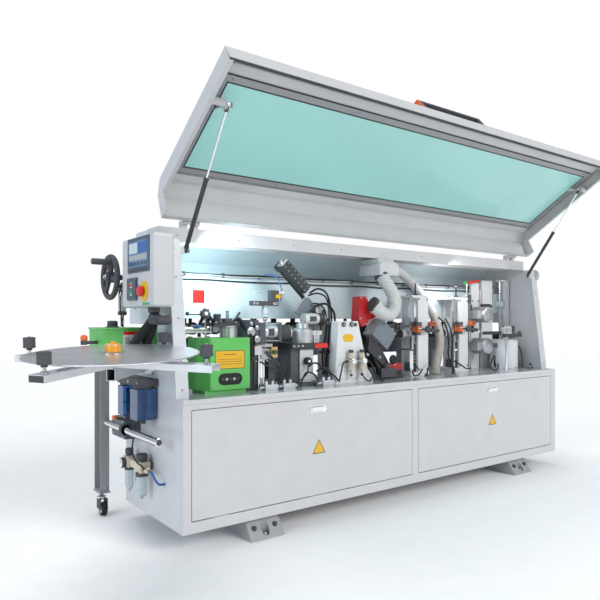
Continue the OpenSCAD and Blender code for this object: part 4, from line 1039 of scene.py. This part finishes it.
def build_gantries():
    for side, (x, y) in (("left", (340, -114)), ("right", (845, -50))):
        node = f"gantry_{side}"
        paint(node, "chrome", x=(x - 35, x + 35), y=(y + 61, y + 79), z=(745, 1239))
        paint(node, "black_enamel", x=(x - 15, x + 15), y=(y + 55, y + 85), z=(1257.5, 1345))
        paint(node, "chrome", x=(x - 111, x - 95), y=(y - 1, y + 17), z=(745, 1239))
        here = Matrix.Translation((x, y, 0))
        trim = Piece(f"{node}_trim").at(here)
        for dx in (-40, 40):
            trim.bolt((dx, 0, 1232), FRONT, 5, "gasket")
            trim.bolt((dx, 0, 760), FRONT, 5, "gasket")
        for dx in (-108, 44):
            trim.screw((dx, 40, DECK_Z + 24), UP, 8)
            trim.screw((dx, 110, DECK_Z + 24), UP, 8)
        trim.bolt((-92, 60, 1257), UP, 6, "gasket")
        for k in range(24):
            trim.lathe((0, 70, 1274 + k * 2.7), UP, [(5, 0), (5.8, 0.7), (5, 1.4)], "gasket", 16)
        trim.lathe((0, 70, 1336), UP, [(6, 0), (8, 2), (8, 9), (5, 12)], "chrome")
        # Position counters on the adjusting spindles, with their knobs
        trim.box((-96, -56), (-40, -6), (1010, 1052), "orange")
        trim.box((-92, -60), (-42, -38), (1026, 1046), "black_plastic")
        trim.box((-90, -62), (-42.6, -41), (1033, 1040), "label_white")
        trim.boxes("black_plastic", ((-100, -52), (-36, 6), (1050, 1078)),
                   ((-98, -54), (-30, 4), (990, 1012)))
        trim.rod((-60, -22, 1030), (60, -22, 1030), 6, "black_enamel")
        trim.lathe((14, -22, 1030), FRONT, [(10, -6), (24, 2), (24, 14), (19, 20)], "black_plastic", 14)
        trim.box((54, 86), (-36, -4), (1052, 1082), "orange")
        trim.box((56, 84), (-38, -35), (1060, 1074), "black_plastic")
        trim.rod((50, -18, 1020), (132, -18, 1020), 13, "black_plastic")
        trim.rod((92, -10, 1000), (92, -10, 1066), 10, "black_enamel")
        trim.done(bevel=1)
        head = Piece(f"{node}_head_motor", f"gantry_head_{side}").at(here)
        for k in range(8):
            head.lathe((-146 + k * 10, 70, 1000), RIGHT, [(30, 0), (32.5, 1), (32.5, 4), (30, 5)],
                       "cast_aluminium", 36)
        head.lathe((-152, 70, 1000), RIGHT, [(24, 0), (31, 3), (31, 8)], "black_plastic", 36)
        head.box((-40, 40), (27, 30), (950, 1090), "dark_grey_paint")
        for z in (965, 1020, 1075):
            for dx in (-30, 30):
                head.screw((dx, 27, z), FRONT, 4)
        head.lathe((0, 26, 900), UP, [(16, 0), (16, 30)], "chrome", 24)
        head.done(bevel=0.6)
        lower = Piece(f"{node}_lower_unit").at(here)
        lower.box((-42, 42), (22, 126), (DECK_Z + 24, 800), "dark_grey_paint")
        lower.lathe((-20, 40, 800), UP, [(18, 0), (18, 60), (12, 66)], "cast_aluminium", 28)
        lower.lathe((26, 40, 800), UP, [(12, 0), (12, 42), (6, 46)], "black_plastic", 24)
        for z in (815, 835, 855):
            lower.lathe((-20, 40, z), UP, [(18, 0), (19.5, 1), (19.5, 5), (18, 6)], "black_plastic", 28)
        lower.done(bevel=1)
    cords = Piece("gantry_cables")
    for r, route in (
            (6, [(450, -150, 1110), (500, -170, 1060), (528, -176, 960), (520, -180, 850), (560, -186, 770),
                 (575, -186, 740)]),
            (5, [(560, -120, 1100), (600, -126, 1040), (620, -130, 960), (600, -140, 860), (585, -160, 770),
                 (575, -170, 730)]),
            (5, [(250, -150, 770), (210, -175, 790), (170, -180, 762), (185, -180, 730), (235, -178, 738),
                 (262, -178, 770)]),
            (5, [(385, -130, 800), (350, -160, 792), (320, -172, 758), (310, -174, 728)]),
            (5, [(-30, -180, 900), (60, -190, 905), (150, -170, 900), (230, -130, 890)]),
            (5, [(700, -80, 800), (745, -110, 770), (790, -116, 745), (850, -110, 745)]),
    ):
        cords.tube(route, r, "cable_black", 10)
    for x, y in ((310, -174), (575, -178)):
        cords.lathe((x, y, 720), UP, [(16, 0), (16, 8), (10, 14), (8, 22)], "black_plastic")
    cords.done(bevel=0)


BUFF_X = 1100
BUFF_Y = -80


def build_buffers():
    paint("buff_unit", "pure_white", x=(1060, 1170), y=(53.5, 70.5))
    paint("buff_unit", "pure_white", x=(1190, 1335), y=(53.5, 70.5))
    paint("buff_unit", "chrome", x=(1014, 1044), y=(-295, -260), z=(720, 967))
    paint("buff_unit", "black_enamel", x=(1011, 1212), y=(-291, -261), z=(967.5, 993))
    paint("buff_unit", "pure_white", x=(1211, 1421), y=(-165, 45), z=(720, 943))
    for name, z in (("top", 1133), ("low", 896)):
        here = Matrix.Translation((BUFF_X, BUFF_Y, z))
        motor = Piece(f"buff_motor_{name}")
        for k in range(26):
            a = math.radians(k * 360 / 26)
            motor.at(here @ Matrix.Rotation(-a, 4, "Y"))
            motor.box((54, 60), (22, 122), (-1.6, 1.6), "cast_aluminium")
        motor.at(here)
        motor.lathe((0, 20, 0), FRONT, [(60, -6), (60, 12), (56, 19), (46, 23), (14, 24)],
                    "aluminium", 56)
        # The vent holes are dark discs: painted shade in the holes.
        # Each row of vents starts 0.3 of a step further round than the one inside it
        for row, (r, count) in enumerate(((18, 6), (31, 10), (43, 14))):
            for x, z in around(count, r, 0.3 * row * 360 / count):
                motor.lathe((x, -3.7 + row * 0.4, z), FRONT, [(4.6, 0), (4.6, 0.8)], "gasket", 12)
        motor.lathe((0, 3, 0), FRONT, [(56.8, -1), (56.8, 1.2), (54, 2.4)], "gasket", 56)
        motor.lathe((0, 128, 0), BACK, [(60, 0), (62, 2), (62, 6)], "cast_aluminium", 56)
        motor.box((-96, -52), (26, 112), (-32, 32), "cast_aluminium")
        motor.screw((-74, 26, 22), FRONT, 4)
        motor.screw((-74, 26, -22), FRONT, 4)
        motor.done(bevel=0.7)
        mop = Piece(f"buff_mop_{name}", f"buff_wheel_{name}").at(here)
        steps = [(20, 151), (20, 160), (30, 161), (90, 160), (95, 163), (93, 166), (95, 169), (93, 172),
                 (95, 175), (95, 179), (90, 182), (30, 181)]
        mop.lathe((0, 0, 0), BACK, steps, "mop", 72)
        mop.lathe((0, 180, 0), BACK, [(26, 0), (26, 1.6), (12, 1.9)], "steel", 32)
        mop.done(bevel=0, replaces=[f"buff_wheel_{name}"], slot="cotton_mop")
    stand = Piece("buff_stand_parts")
    for z in (1240, 1385):
        for x in (1078, 1152):
            stand.screw((x, 54, z), FRONT, 6, "gasket")
    stand.box((1166, 1180), (40, 66), (1180, 1330), "aluminium")
    stand.box((1160, 1215), (-20, 40), (1175, 1215), "black_enamel")
    stand.rod((1190, -40, 1195), (1190, 60, 1195), 12, "black_plastic")
    stand.box((975, 1030), (30, 54), (1180, 1300), "aluminium")
    stand.box((985, 1016), (14, 34), (1215, 1282), "dark_grey_paint")
    stand.rod((984, 30, 1170), (984, 30, 1372), 8, "chrome")
    stand.rod((1018, 16, 1150), (1018, 16, 1210), 6, "black_enamel")
    stand.box((930, 1150), (-176, -150), (985, 1004), "black_enamel")
    stand.rod((930, -163, 1004), (1150, -163, 1004), 5, "rubber")
    for x in (1140, 1175, 1210):
        stand.lathe((x, -180, 1000), UP, [(18, 0), (20, 4), (20, 36), (12, 42)], "cast_aluminium", 28)
    stand.box((1120, 1240), (-200, -160), (975, 1004), "cast_aluminium")
    stand.rod((1130, -190, 1042), (1236, -190, 1042), 9, "chrome")
    stand.box((1222, 1250), (-205, -165), (960, 1050), "black_plastic")
    stand.lathe((1200, -276, 992), UP, [(14, 0), (14, 14), (9, 18)], "black_plastic")
    stand.done(bevel=1)
    lever = Piece("clamp_lever")
    lever.prism([(980, 1360), (1143, 1388), (1146, 1404), (976, 1380)], 30, 54, "signal_red", plane="xz")
    lever.lathe((972, 36, 1358), UP, [(12, 0), (14, 4), (14, 20), (9, 25)], "signal_green")
    lever.done(bevel=2)
    drum = Piece("air_drum_parts")
    for z in (724, 930):
        drum.lathe((1316, -60, z), UP, [(104, 0), (106, 2), (106, 8), (104, 10)], "aluminium", 64)
    drum.box((1209, 1214), (-80, -40), (880, 915), "steel")
    drum.lathe((1316, -60, 942), UP, [(30, 0), (30, 5), (12, 8), (12, 16)], "steel")
    for x in (1430, 1480):
        drum.bolt((x, -200, 720), UP, 9, "gasket")
    for r, route in (
            (6, [(1213, -50, 780), (1180, -80, 760), (1130, -120, 742), (1075, -150, 760), (1060, -160, 800),
                 (1085, -150, 820)]),
            (5, [(1085, -140, 830), (1020, -170, 800), (985, -180, 752), (1010, -190, 728), (1060, -190, 735),
                 (1090, -170, 770)]),
            (4, [(1380, -146, 900), (1400, -160, 840), (1404, -166, 770), (1396, -170, 724)]),
    ):
        drum.tube(route, r, "cable_black", 10)
    drum.done(bevel=0.6)


# ---- infeed end ----


def build_control_box():
    box = Piece("control_housing")
    box.box((-1690, -1590), (-382, 15), (1150, 1482), "cabinet_paint")
    box.done(bevel=16, segments=5, replaces=["control_box"], slot="off_white_paint")
    trim = Piece("control_trim")
    trim.box((-1592, -1540.2), (-230, -30), (1170, 1470), "grey_paint")
    trim.box((-1702, -1689), (-191, -84), (1184, 1288), "screen_bezel")
    trim.lathe((-1689, -268, 1222), LEFT, [(47, 0), (47, 4), (42, 7)], "signal_yellow", 48)
    for z in (1254, 1218):
        trim.lathe((-1701, -138, z), LEFT, [(13.5, 0), (13.5, 2.5), (11.5, 3.5)], "chrome", 32)
    for y in (-185, -90):
        for z in (1190, 1282):
            trim.screw((-1702, y, z), LEFT, 3)
    trim.box((-1691.2, -1689), (-330, -250), (1160, 1170), "signal_green")
    for y in (-340, -180, -30):
        trim.screw((-1640, y, 1150), DOWN, 6)
    trim.done(bevel=1.2)
    screen = Piece("screen_unit")
    screen.box((-1694, -1685), (-333, -70), (1310, 1476), "screen_bezel")
    screen.done(bevel=5, segments=3, replaces=["touch_screen"], slot="screen_plastic")
    glass = Piece("screen_glass")
    glass.box((-1694.8, -1693.5), (-316, -88), (1338, 1458), "screen_glass")
    for k in range(5):
        glass.box((-1695.1, -1694.6), (-310 + k * 44, -276 + k * 44), (1345, 1359), "screen_bezel")
    glass.box((-1695.1, -1694.6), (-310, -206), (1402, 1450), "air_blue")
    glass.box((-1695.1, -1694.6), (-196, -96), (1402, 1450), "back_paint")
    glass.box((-1695.1, -1694.6), (-310, -96), (1368, 1394), "cable_grey")
    for k in range(6):
        glass.box((-1695.2, -1693.5), (-306 + k * 37, -280 + k * 37), (1317, 1328), "black_plastic")
    glass.done(bevel=0.4)
    head = Piece("mushroom_head", "estop_button")
    head.lathe((-1682, -268, 1222), LEFT, [(13.9, 0), (13.9, 19), (24, 20), (25, 24), (25, 33), (21, 38),
                                                (10, 40)], "signal_red", 48)
    head.done(bevel=0, replaces=["estop_button"], slot="red_plastic")


def build_handwheel():
    wheel = Vector(joints["handwheel_turn"]["pos_m"]) / MM
    trim = Piece("handwheel_trim", "handwheel")
    trim.lathe(wheel + Vector((-18, 0, 0)), LEFT, [(24, 0), (22, 6), (12, 9)], "black_plastic", 40)
    trim.bolt(wheel + Vector((-26, 0, 0)), LEFT, 10, "chrome")
    turn = turned("X", 114, wheel)
    trim.at(turn)
    tip = wheel + Vector((-103, 80, 0))
    trim.lathe(tip, RIGHT, [(9, -4), (13.5, -1), (15.6, 6), (15.8, 40), (15.2, 84), (13, 92)],
               "black_plastic", 32)
    trim.lathe(tip + Vector((-4, 0, 0)), LEFT, [(5, 0), (5, 2), (3, 3)], "chrome", 20)
    trim.done(bevel=0)
    collar = Piece("handwheel_collar", "pressure_beam")
    collar.lathe((-1640, wheel.y, wheel.z), LEFT, [(14.5, -30), (19, -28), (19, -8), (15, -3)], "steel", 36)
    for k in range(4):
        collar.box((-1660 + k * 3.6, -1658.4 + k * 3.6), (wheel.y - 15, wheel.y + 15),
                   (wheel.z - 15, wheel.z + 15), "black_enamel")
    collar.done(bevel=0.5)


def build_cutter():
    box = Piece("cutter_housing")
    box.boxes("green", ((-1821, -1602), (-92, 104), (952, 1052)), ((-1826, -1597), (-97, 109), (1046, 1055)))
    box.done(bevel=4, segments=3, replaces=["cutter_box"], slot="green_paint")
    parts = Piece("cutter_parts")
    parts.box((-1603, -CABINET_X), (-60, 80), (960, 1040), "green")
    parts.box((-1722, -1614), (-93.6, -91.8), (966, 1036), "label_white")
    parts.box((-1722, -1614), (-94.2, -93), (1020, 1036), "signal_red")
    parts.box((-1716, -1690), (-94.2, -93), (976, 1010), "cable_grey")
    parts.lathe((-1745, -10, 1054), UP, [(34, 0), (34, 4), (26, 7), (24, 9)], "black_plastic", 40)
    parts.lathe((-1745, -10, 1060), UP, [(22, 0), (25, 4), (25, 22), (21, 27), (8, 28)], "black_plastic", 18)
    for x in (-1810, -1613):
        for z in (962, 1040):
            parts.screw((x, -92, z), FRONT, 4)
    # Air cylinder of the tape shear
    x, y = -1662, 83
    parts.lathe((x, y, 1054), UP, [(9, 0), (9, 64)], "chrome", 28)
    parts.lathe((x, y, 1116), UP, [(20, 0), (22, 2), (22, 17), (20, 19)], "black_plastic", 36)
    parts.lathe((x, y, 1134), UP, [(19, 0), (19, 120)], "chrome", 40)
    parts.lathe((x, y, 1252), UP, [(20, 0), (22, 2), (22, 17), (20, 19)], "black_plastic", 36)
    parts.lathe((x, y, 1270), UP, [(9, 0), (9, 8), (6, 12)], "steel", 24)
    for z in (1124, 1262):
        parts.rod((x, y - 18, z), (x, y - 34, z), 6, "black_plastic", 18)
    # Sprung lever at the left of the housing
    parts.rod((-1896, -20, 985), (-1820, -20, 985), 8, "black_enamel")
    parts.box((-1896, -1872), (-32, -8), (974, 996), "black_plastic")
    parts.lathe((-1884, -20, 994), UP, [(12, 0), (16, 4), (17, 14), (14, 23), (6, 27)], "orange", 32)
    parts.done(bevel=0.8)
    loops = Piece("cutter_air_lines")
    for route in (
            [(-1662, 49, 1262), (-1672, 20, 1275), (-1690, 12, 1240), (-1696, 20, 1180), (-1684, 36, 1090),
             (-1672, 50, 1060)],
            [(-1662, 49, 1124), (-1668, 24, 1130), (-1682, 20, 1105), (-1684, 34, 1070), (-1676, 44, 1058)],
    ):
        loops.tube(route, 3, "cable_black", 10)
    loops.done(bevel=0)


def build_duct():
    duct = Piece("duct_pipe_ribbed")
    for r, route in (
            (24, [(-1620, -216, 1140), (-1620, -215, 1105), (-1638, -190, 1060), (-1672, -150, 1005),
                  (-1690, -130, 960), (-1690, -128, 930)]),
            (22, [(-1622, -214, 1085), (-1618, -180, 1040), (-1625, -145, 990), (-1630, -130, 950),
                  (-1630, -128, 930)]),
    ):
        duct.tube(route, r, "rubber", sides=26, rib=3, pitch=9)
    duct.rod((-1622, -240, 1090), (-1556, -240, 1090), 22, "black_plastic", 32)
    duct.lathe((-1620, -216, 1126), UP, [(26, 0), (28, 2), (28, 22), (25, 24)], "black_plastic", 36)
    duct.lathe((-1620, -226, 1096), (0, -0.2, 1), [(27, -22), (30, -16), (30, 14), (26, 22)],
               "black_plastic", 36)
    duct.box((-1714, -1604), (-154, -102), (897, 935), "black_plastic")
    duct.box((-1605, -CABINET_X), (-140, -112), (900, 930), "dark_grey_paint")
    duct.done(bevel=1, replaces=["duct_pipe"], slot="black_hose")


# ---- turntable ----

DISC = Vector(joints["turntable_spin"]["pos_m"]) / MM
ARM_TURN = 34.2
ON_DISC = Matrix.Translation(DISC) @ Matrix.Rotation(math.radians(4), 4, Vector((0.803, -0.596, 0)))
ON_ARMS = ON_DISC @ Matrix.Rotation(math.radians(ARM_TURN), 4, "Z")
ROLLER_PLACES = (-390, 0), (390, 0), (0, -430), (0, 430)


def build_turntable():
    hub = Piece("turntable_hub", "turntable").at(ON_DISC)
    hub.lathe((0, 0, -0.5), UP, [(44, 0), (44, 5), (33, 8)], "steel", 48)
    hub.lathe((0, 0, 8), UP, [(31, 0), (32, 4), (32, 26), (28, 33), (10, 35)], "amber", 48)
    hub.bolt((0, 0, 42), UP, 9, "amber")
    hub.lathe((0, 0, -4.4), UP, [(349, 0), (351, 2), (351, 3.4), (349, 5)], "aluminium", 120)
    hub.done(bevel=0)
    paint("turntable_arms", "steel", z=(893.5, 909), x=(-1935, -1860), y=(-485, -415))
    arms = Piece("turntable_arm_trim").at(ON_ARMS)
    for x, y in ROLLER_PLACES:
        arms.lathe((x, y, -24), UP, [(14, 0), (14, 6), (8, 8), (6, 18)], "steel", 28)
    for x in (-430, 400):
        arms.box(sorted((x, x + (4 if x < 0 else -4))), (-33, 33), (-51, -26), "gasket")
    arms.boxes("gasket", ((-330, -240), (-6, 6), (-24.5, -23.6)), ((230, 330), (-6, 6), (-24.5, -23.6)))
    arms.done(bevel=0.6)
    for number, (x, y) in enumerate(ROLLER_PLACES, 1):
        roller = Piece(f"guide_roller_{number}_trim", f"guide_roller_{number}").at(ON_ARMS)
        roller.lathe((x, y, 8), UP, [(22, -1), (26, 1), (26, 5), (25, 6)], "black_plastic", 40)
        roller.lathe((x, y, 40), UP, [(25, 5), (26, 7), (26, 11), (21, 13), (8, 14)], "black_plastic", 40)
        roller.bolt((x, y, 53), UP, 5, "steel")
        roller.done(bevel=0)
    post = Piece("turntable_mount")
    for y in (-25, 105):
        for z in (825, 905):
            post.bolt((-1546, y, z), LEFT, 7)
    post.done(bevel=0)


# ---- left wall ----


def build_bottles():
    for number, (y, r) in enumerate(((175, 38), (-33, 48)), 1):
        bottle = Piece(f"spray_bottle_{number}")
        bottle.box((-1600 - r, -1600 + r), (y - r, y + r), (600, 752), "bottle_blue")
        bottle.rod((-1600, y, 604), (-1600, y, 740), 12, "black_plastic", 24)
        bottle.box((-1600 - r - 0.6, -1600 + r + 0.6), (y - r - 0.6, y + r + 0.6), (664, 668), "bottle_blue")
        bottle.lathe((-1600, y, 578), UP, [(8, 0), (13, 3), (13, 18), (11, 20)], "black_plastic", 28)
        bottle.lathe((-1600, y, 752), UP, [(r - 8, 0), (r + 1, 3), (r + 1, 16)], "black_plastic", 48)
        bottle.done(bevel=7, segments=3, slot="blue_bottle")
    rack = Piece("bottle_rack")
    rack.boxes("black_plastic", ((-1640, -CABINET_X), (-85, 215), (766, 800)),
               ((-1644, -1600), (-89, -20), (772, 806)))
    rack.rod((-1600, -33, 590), (-1600, 175, 590), 6, "black_plastic")
    rack.lathe((-1600, 70, 590), DOWN, [(10, -10), (10, 12), (6, 22)], "black_plastic", 24)
    for y in (-60, 60, 190):
        rack.bolt((-1640, y, 783), LEFT, 6)
    rack.done(bevel=3, segments=3, replaces=["spray_bottles"])
    lines = Piece("bottle_lines")
    lines.tube([(-1600, 70, 570), (-1604, 66, 520), (-1625, 40, 470), (-1640, 0, 430), (-1636, -40, 395),
                (-1612, -52, 372), (-1600, -40, 352)], 4, "cable_black", 10)
    lines.done(bevel=0)


def build_air_service():
    unit = Piece("air_service_unit")
    unit.boxes("beige", ((-1612, -1560), (-30, 48), (330, 384)), ((-1612, -1560), (130, 200), (330, 384)),
               ((-1606, -1562), (46, 132), (338, 376)))
    unit.box((-1562, -CABINET_X), (-10, 180), (340, 372), "dark_grey_paint")
    for y, r in ((5, 32), (175, 25)):
        unit.lathe((-1590, y, 331), DOWN, [(r - 4, 0), (r, 4), (r, 20)], "black_plastic", 40)
        unit.lathe((-1590, y, 312), DOWN, [(r - 3, 0), (r - 3, 74), (r - 8, 96), (10, 106), (6, 116)],
                   "bowl_clear", 40)
        unit.lathe((-1590, y, 384), UP, [(r - 8, 0), (r - 8, 8), (r - 4, 10), (r - 4, 34), (r - 9, 38)],
                   "black_plastic", 20)
    unit.lathe((-1612, 178, 350), LEFT, [(8, 0), (26, 4), (27, 8), (27, 22), (25, 24)], "black_plastic", 40)
    unit.lathe((-1636.2, 178, 350), LEFT, [(24, 0), (24, 0.5)], "label_white", 40)
    unit.box((-1638, -1636), (177, 179.4), (348, 368), "signal_red")
    unit.rod((-1590, -90, 350), (-1590, -29, 350), 9, "brass")
    unit.bolt((-1590, -60, 350), FRONT, 13, "chrome")
    unit.lathe((-1590, 199, 350), BACK, [(16, 0), (16, 6), (14, 8), (14, 41)], "black_plastic", 6)
    unit.rod((-1622, 10, 300), (-1628, 10, 300), 3, "steel")
    unit.done(bevel=1.5, replaces=["air_service"], slot="beige_plastic")
    line = Piece("air_service_line")
    line.tube([(-1590, -88, 350), (-1590, -120, 346), (-1586, -150, 320), (-1570, -160, 300),
               (-1541, -160, 296)], 6, "air_blue", 12)
    line.done(bevel=0)


def build_support():
    paint("support_leg", "chrome", x=(-1641, -1599), y=(-272, 451.5), z=(500, 546))
    paint("support_leg", "black_plastic", y=(485, 519), z=(961, 992))
    paint("support_leg", "chrome", x=(1140, 1170), z=(8.5, 132))
    trim = Piece("support_trim", "support_leg")
    trim.lathe((-1620, -270, 524), FRONT, [(19.3, -4), (19.3, 1), (17, 2)], "chrome", 40)
    trim.lathe((-1620, -271.6, 524), FRONT, [(14, 0), (14, 0.8)], "gasket", 36)
    for x in (-1650, 1130):
        for z in (160, 520, 900):
            trim.bolt((x + 25, 452, z), FRONT, 7)
    trim.boxes("grey_paint", ((-1656, -1594), (446, 558), (128, 134)), ((1124, 1186), (446, 558), (128, 134)))
    trim.bolt((-1625, 502, 128), DOWN, 9)
    for i in range(-13, 10):
        trim.lathe((i * 120, 486, 976), FRONT, [(6, 0), (6, 3)], "chrome", 16)
    trim.done(bevel=1)
    clamp = Piece("slide_clamp")
    clamp.lathe((-1620, 140, 524), FRONT, [(28, -34), (30, -30), (30, -2), (26, 0)], "black_plastic", 48)
    clamp.lathe((-1620, 158, 552), UP, [(8, 0), (8, 16), (13, 18), (13, 26)], "black_plastic", 24)
    clamp.rod((-1620, 158, 572), (-1668, 150, 590), 7, "black_plastic")
    clamp.lathe((-1668, 150, 590), (-0.94, -0.16, 0.34), [(7, 0), (10, 4), (10, 16), (6, 20)], "orange", 24)
    for z in (484, 564):
        for y in (170, 320):
            clamp.bolt((-1624, y, z), LEFT, 7)
    clamp.done(bevel=0.6)
    caster = Piece("caster_trim", "caster_fork")
    caster.lathe((-1625, 502, 100), UP, [(24, -8), (26, -5), (26, 0), (20, 3), (12, 8)], "chrome", 40)
    for side in (-1, 1):
        caster.bolt((-1625 + side * 21, 480, 36), (side, 0, 0), 6)
    caster.done(bevel=0)
    tread = Piece("caster_tread", "caster_wheel")
    tread.lathe((-1640.4, 480, 36), RIGHT, [(26, 0), (34, 0.6), (36, 4), (36, 26), (34, 30), (26, 30.8)],
                "rubber", 56)
    tread.lathe((-1641, 480, 36), RIGHT, [(9, 0), (24, 0.2), (24, 32), (9, 32.2)], "cable_grey", 40)
    tread.done(bevel=0, replaces=["caster_wheel"], slot="black_rubber")


def main():
    set_camera()
    set_studio()
    set_floor()
    dress_cad()
    build_cabinet()
    build_doors()
    build_lid()
    build_struts()
    build_hood()
    build_feed()
    build_glue_unit()
    build_infeed_guide()
    build_tape_feeder()
    build_press_unit()
    build_end_cutter()
    build_casting()
    build_trimmer()
    build_hoses()
    build_gantries()
    build_buffers()
    build_control_box()
    build_handwheel()
    build_cutter()
    build_duct()
    build_turntable()
    build_bottles()
    build_air_service()
    build_support()


main()
